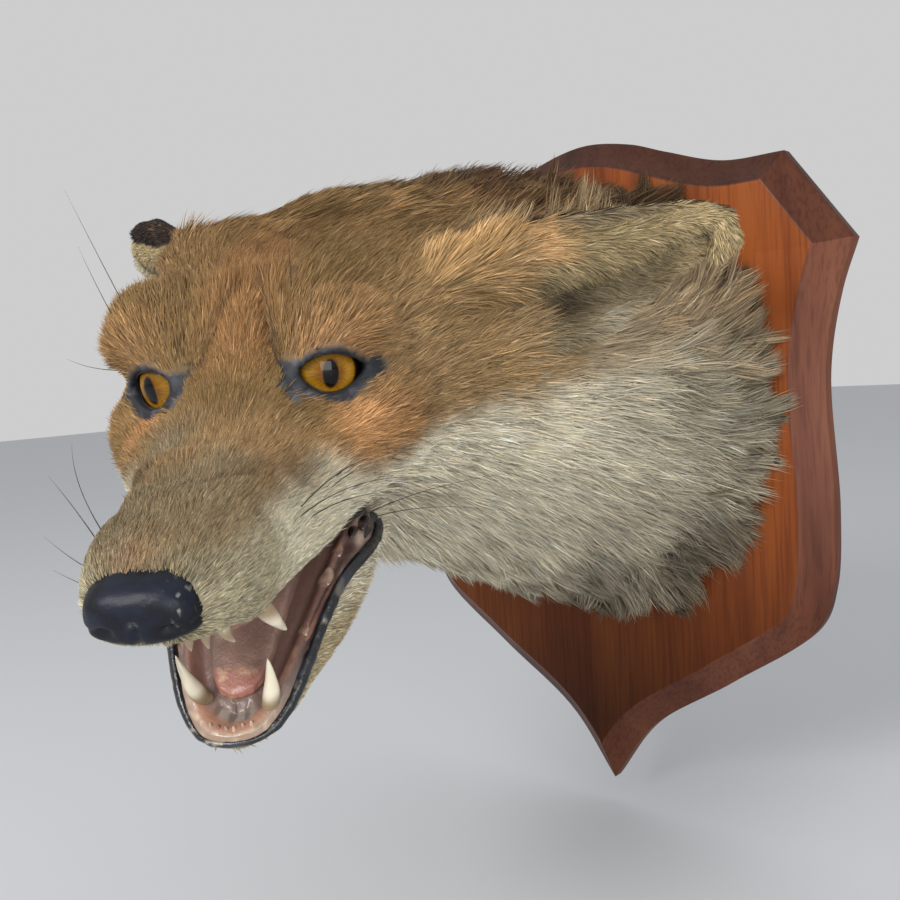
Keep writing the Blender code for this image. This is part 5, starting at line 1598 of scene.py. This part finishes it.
def shield_half():
    h = SHIELD_H
    top = [(0.0, 0.500), (0.080, 0.487), (0.139, 0.4650), (0.225, 0.4365), (0.312, 0.433)]
    side_ = [(0.400, 0.309), (0.377, 0.243), (0.359, 0.139), (0.366, -0.046),
             (0.359, -0.154), (0.337, -0.211), (0.211, -0.306), (0.075, -0.400), (0.0, -0.500)]

    def curve(points, per, flat_start=False):
        pts = np.array(points, float)
        first = pts[1] * [-1, 1] if flat_start else 2 * pts[0] - pts[1]
        ext = np.vstack([first, pts, 2 * pts[-1] - pts[-2]])
        knots = np.concatenate([[0], np.cumsum(np.linalg.norm(np.diff(ext, axis=0), axis=1) ** 0.5)])
        out_ = []
        for k in range(1, len(ext) - 2):
            p0, p1, p2, p3 = ext[k - 1:k + 3]
            t0, t1, t2, t3 = knots[k - 1:k + 3]
            for t_ in np.linspace(t1, t2, per, endpoint=False):
                a1 = (t1 - t_) / (t1 - t0) * p0 + (t_ - t0) / (t1 - t0) * p1
                a2 = (t2 - t_) / (t2 - t1) * p1 + (t_ - t1) / (t2 - t1) * p2
                a3 = (t3 - t_) / (t3 - t2) * p2 + (t_ - t2) / (t3 - t2) * p3
                b1 = (t2 - t_) / (t2 - t0) * a1 + (t_ - t0) / (t2 - t0) * a2
                b2 = (t3 - t_) / (t3 - t1) * a2 + (t_ - t1) / (t3 - t1) * a3
                out_.append((t2 - t_) / (t2 - t1) * b1 + (t_ - t1) / (t2 - t1) * b2)
        out_.append(pts[-1])
        return [tuple(p_ * h) for p_ in out_]

    return curve(top, 14, True) + curve(side_, 14)


half = shield_half()
outline = np.array(half + [(-x_, z_) for x_, z_ in half[-2:0:-1]])
n = len(outline)
before = unit(outline - np.roll(outline, 1, 0))
after = unit(np.roll(outline, -1, 0) - outline)
n1 = np.stack([before[:, 1], -before[:, 0]], 1)
n2 = np.stack([after[:, 1], -after[:, 0]], 1)
mitre = unit(n1 + n2)
scale_m = 1 / np.maximum((mitre * n1).sum(1), 0.3)
# rings from the back edge round to the front face: y, inset
profile = [(0.0, 0.7), (-0.15, 0.25), (-0.6, 0.0), (-EDGE_T + 0.35, 0.0), (-EDGE_T - 0.1, 0.12), (-EDGE_T - 0.5, 0.5)]
for k in range(1, 8):
    t_ = k / 8
    profile.append((-EDGE_T - 0.5 - (SHIELD_T - EDGE_T - 1.0) * t_ + 0.25 * math.sin(math.pi * t_), 0.5 + (BEVEL_W - 1.0) * t_))
profile += [(-SHIELD_T + 0.42, BEVEL_W - 0.45), (-SHIELD_T + 0.12, BEVEL_W - 0.1), (-SHIELD_T, BEVEL_W + 0.35)]
sharp = [k for k in range(n) if before[k] @ after[k] < 0.97 and n1[k] @ after[k] > 0]


def inset_outline(inset_):
    """The outline moved inwards; points that would cross a corner's mitre stop on it."""
    p2 = outline + mitre * (inset_ * scale_m)[:, None]
    for c in sharp:
        b = mitre[c]
        meet = p2[c].copy()
        for way in (1, -1):
            for k in range(1, 40):
                i_ = (c + way * k) % n
                d0, d1 = outline[i_] - outline[c], p2[i_] - outline[c]
                if (b[0] * d0[1] - b[1] * d0[0]) * (b[0] * d1[1] - b[1] * d1[0]) > 1e-9:
                    break
                p2[i_] = meet
    return p2


rings = []
for y_, inset_ in profile:
    p2 = inset_outline(inset_)
    rings.append(np.stack([p2[:, 0], np.full(n, y_), p2[:, 1]], 1))
rings = np.array(rings)
k_rings = len(rings)
idx = np.arange(n)
quads_s = np.concatenate([np.stack([r * n + idx, r * n + (idx + 1) % n, (r + 1) * n + (idx + 1) % n, (r + 1) * n + idx], 1)
                          for r in range(k_rings - 1)])
vs = rings.reshape(-1, 3)


def cap(ring, start):
    """Triangles that fill one flat outline."""
    kept = [0]
    for i_ in range(1, n):
        if np.linalg.norm(ring[i_] - ring[kept[-1]]) > 1e-4:
            kept.append(i_)
    tris_ = tessellate_polygon([[Vector(ring[i_]) for i_ in kept]])
    return np.array([[kept[a_] + start for a_ in t_] for t_ in tris_])


caps = np.concatenate([cap(rings[0], 0), cap(rings[-1], (k_rings - 1) * n)])
flat_quad = (np.linalg.norm(vs[quads_s[:, 0]] - vs[quads_s[:, 1]], axis=1) < 1e-5) \
    & (np.linalg.norm(vs[quads_s[:, 3]] - vs[quads_s[:, 2]], axis=1) < 1e-5)
quads_s = quads_s[~flat_quad]
shield = mesh_object("shield", vs, [quads_s, caps], None)
outward(shield)
shield.data.set_sharp_from_angle(angle=math.radians(24))
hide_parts("shield_board")


def wood(name, light, mid_tone, dark_tone, roughness, grain=(1.0, 1.0, 0.09), seed=0.0, shade=1.0, top_shade=1.0):
    mat = bpy.data.materials.new(name)
    mat.use_nodes = True
    nodes, links = mat.node_tree.nodes, mat.node_tree.links
    bsdf = nodes["Principled BSDF"]
    bsdf.inputs["Coat Weight"].default_value = 0.02
    bsdf.inputs["Coat Roughness"].default_value = 0.3
    bsdf.inputs["Specular IOR Level"].default_value = 0.12
    coord = nodes.new("ShaderNodeTexCoord")
    mapping = nodes.new("ShaderNodeMapping")
    mapping.inputs["Location"].default_value = (seed, seed * 0.7, 0.3)
    mapping.inputs["Scale"].default_value = grain
    links.new(coord.outputs["Object"], mapping.inputs["Vector"])
    figure = nodes.new("ShaderNodeTexNoise")
    figure.inputs["Scale"].default_value = 42
    figure.inputs["Detail"].default_value = 6
    figure.inputs["Distortion"].default_value = 0.9
    links.new(mapping.outputs["Vector"], figure.inputs["Vector"])
    fine = nodes.new("ShaderNodeMapping")
    fine.inputs["Scale"].default_value = (1, 1, 0.035)
    links.new(coord.outputs["Object"], fine.inputs["Vector"])
    pores = nodes.new("ShaderNodeTexNoise")
    pores.inputs["Scale"].default_value = 900
    pores.inputs["Detail"].default_value = 3
    links.new(fine.outputs["Vector"], pores.inputs["Vector"])
    ramp_ = nodes.new("ShaderNodeValToRGB")
    ramp_.color_ramp.elements[0].position = 0.32
    ramp_.color_ramp.elements[0].color = (*dark_tone, 1)
    ramp_.color_ramp.elements[1].position = 0.72
    ramp_.color_ramp.elements[1].color = (*light, 1)
    e = ramp_.color_ramp.elements.new(0.5)
    e.color = (*mid_tone, 1)
    links.new(figure.outputs["Fac"], ramp_.inputs["Fac"])
    pore_ramp = nodes.new("ShaderNodeValToRGB")
    pore_ramp.color_ramp.elements[0].position = 0.36
    pore_ramp.color_ramp.elements[0].color = (0.45, 0.40, 0.40, 1)
    pore_ramp.color_ramp.elements[1].position = 0.52
    pore_ramp.color_ramp.elements[1].color = (1, 1, 1, 1)
    links.new(pores.outputs["Fac"], pore_ramp.inputs["Fac"])
    mult = nodes.new("ShaderNodeMix")
    mult.data_type = "RGBA"
    mult.blend_type = "MULTIPLY"
    mult.inputs["Factor"].default_value = 0.45
    links.new(ramp_.outputs["Color"], mult.inputs["A"])
    links.new(pore_ramp.outputs["Color"], mult.inputs["B"])
    # painted shadow: the colour darkens towards the foot, where the head's shadow falls on the board
    split = nodes.new("ShaderNodeSeparateXYZ")
    links.new(coord.outputs["Object"], split.inputs["Vector"])
    foot_shadow = nodes.new("ShaderNodeMapRange")
    foot_shadow.inputs["From Min"].default_value = -0.10
    foot_shadow.inputs["From Max"].default_value = 0.02
    foot_shadow.inputs["To Min"].default_value = shade
    foot_shadow.inputs["To Max"].default_value = 1.0
    links.new(split.outputs["Z"], foot_shadow.inputs["Value"])
    foot_shadow_mix = nodes.new("ShaderNodeMix")
    foot_shadow_mix.data_type = "RGBA"
    foot_shadow_mix.blend_type = "MULTIPLY"
    foot_shadow_mix.inputs["Factor"].default_value = 1.0
    links.new(mult.outputs["Result"], foot_shadow_mix.inputs["A"])
    links.new(foot_shadow.outputs["Result"], foot_shadow_mix.inputs["B"])
    # painted shade: the faces that look up are darkened
    facing = nodes.new("ShaderNodeNewGeometry")
    split_n = nodes.new("ShaderNodeSeparateXYZ")
    links.new(facing.outputs["Normal"], split_n.inputs["Vector"])
    up_face_shade = nodes.new("ShaderNodeMapRange")
    up_face_shade.inputs["From Min"].default_value = 0.1
    up_face_shade.inputs["From Max"].default_value = 0.5
    up_face_shade.inputs["To Min"].default_value = 1.0
    up_face_shade.inputs["To Max"].default_value = top_shade
    links.new(split_n.outputs["Z"], up_face_shade.inputs["Value"])
    up_face_shade_mix = nodes.new("ShaderNodeMix")
    up_face_shade_mix.data_type = "RGBA"
    up_face_shade_mix.blend_type = "MULTIPLY"
    up_face_shade_mix.inputs["Factor"].default_value = 1.0
    links.new(foot_shadow_mix.outputs["Result"], up_face_shade_mix.inputs["A"])
    links.new(up_face_shade.outputs["Result"], up_face_shade_mix.inputs["B"])
    links.new(up_face_shade_mix.outputs["Result"], bsdf.inputs["Base Color"])
    rough = nodes.new("ShaderNodeMapRange")
    rough.inputs["To Min"].default_value = roughness + 0.12
    rough.inputs["To Max"].default_value = roughness - 0.06
    links.new(figure.outputs["Fac"], rough.inputs["Value"])
    links.new(rough.outputs["Result"], bsdf.inputs["Roughness"])
    node = nodes.new("ShaderNodeBump")
    node.inputs["Strength"].default_value = 0.25
    node.inputs["Distance"].default_value = 0.0002
    links.new(pores.outputs["Fac"], node.inputs["Height"])
    links.new(node.outputs["Normal"], bsdf.inputs["Normal"])
    return mat


front = wood("mahogany_front", srgb(150, 84, 36), srgb(132, 68, 28), srgb(108, 52, 22), 0.42, shade=0.22)
bevel = wood("mahogany_bevel", srgb(112, 68, 50), srgb(98, 57, 42), srgb(80, 45, 34), 0.42, seed=2.0, shade=0.8, top_shade=0.40)
back_wood = wood("mahogany_back", srgb(104, 62, 40), srgb(84, 48, 32), srgb(60, 34, 24), 0.6, seed=4.0)
for m in (front, bevel, back_wood):
    shield.data.materials.append(m)
nq = len(shield.data.polygons)
centre_y = np.array([p.center.y for p in shield.data.polygons])
normal_y = np.array([p.normal.y for p in shield.data.polygons])
slot_of = np.where((centre_y < -(SHIELD_T - 0.02) * MM) & (normal_y < -0.9), 0, np.where(centre_y > -0.00005, 2, 1))
shield.data.polygons.foreach_set("material_index", slot_of.astype(np.int32))

# --------------------------------------------------------- stage, light, camera
floor_mat = material("floor", 0.8, colour=(0.56, 0.58, 0.61))
bpy.ops.mesh.primitive_plane_add(size=8, location=(0, 0, CAD_BOX[0][2] - 0.012))
floor = bpy.context.object
floor.name = "floor"
floor.data.materials.append(floor_mat)

world = bpy.data.worlds.new("studio")
scene.world = world
world.use_nodes = True
world.node_tree.nodes["Background"].inputs["Color"].default_value = (0.93, 0.93, 0.93, 1)
world.node_tree.nodes["Background"].inputs["Strength"].default_value = 0.66


def area_light(name, at, aim, size, energy, colour=(1, 1, 1)):
    data = bpy.data.lights.new(name, "AREA")
    data.shape = "RECTANGLE"
    data.size, data.size_y = size
    data.energy = energy
    data.color = colour
    obj = bpy.data.objects.new(name, data)
    scene.collection.objects.link(obj)
    obj.location = at
    obj.rotation_euler = (Vector(aim) - Vector(at)).to_track_quat("-Z", "Y").to_euler()
    return obj


area_light("key", (0.12, -1.20, 0.60), (0, -0.12, 0.03), (0.4, 0.4), 12.0, (1.0, 0.985, 0.95))
area_light("fill", (0.90, -0.65, 0.02), (0, -0.12, 0.02), (0.6, 0.6), 6.5, (1.0, 0.99, 0.97))
area_light("top", (0.1, 0.15, 1.1), (0, -0.12, 0.03), (0.9, 0.6), 0.8, (1, 1, 1))

cam_data = bpy.data.cameras.new("camera")
cam = bpy.data.objects.new("camera", cam_data)
scene.collection.objects.link(cam)
cam_x = np.array([0.74345, 0.66571, -0.06415])
cam_y = np.array([-0.00863, 0.10547, 0.99439])
cam_z = np.array([0.66874, -0.73872, 0.08416])
from mathutils import Matrix
cam.matrix_world = Matrix([[cam_x[0], cam_y[0], cam_z[0], 0.82946 * 0.26],
                           [cam_x[1], cam_y[1], cam_z[1], -1.28399 * 0.26],
                           [cam_x[2], cam_y[2], cam_z[2], 0.17353 * 0.26],
                           [0, 0, 0, 1]])
cam_data.sensor_fit = "HORIZONTAL"
cam_data.sensor_width = 36.0
cam_data.lens = 953.7 / 900 * 36.0
cam_data.clip_start = 0.01
cam_data.clip_end = 50
scene.camera = cam
scene.view_settings.view_transform = "Standard"
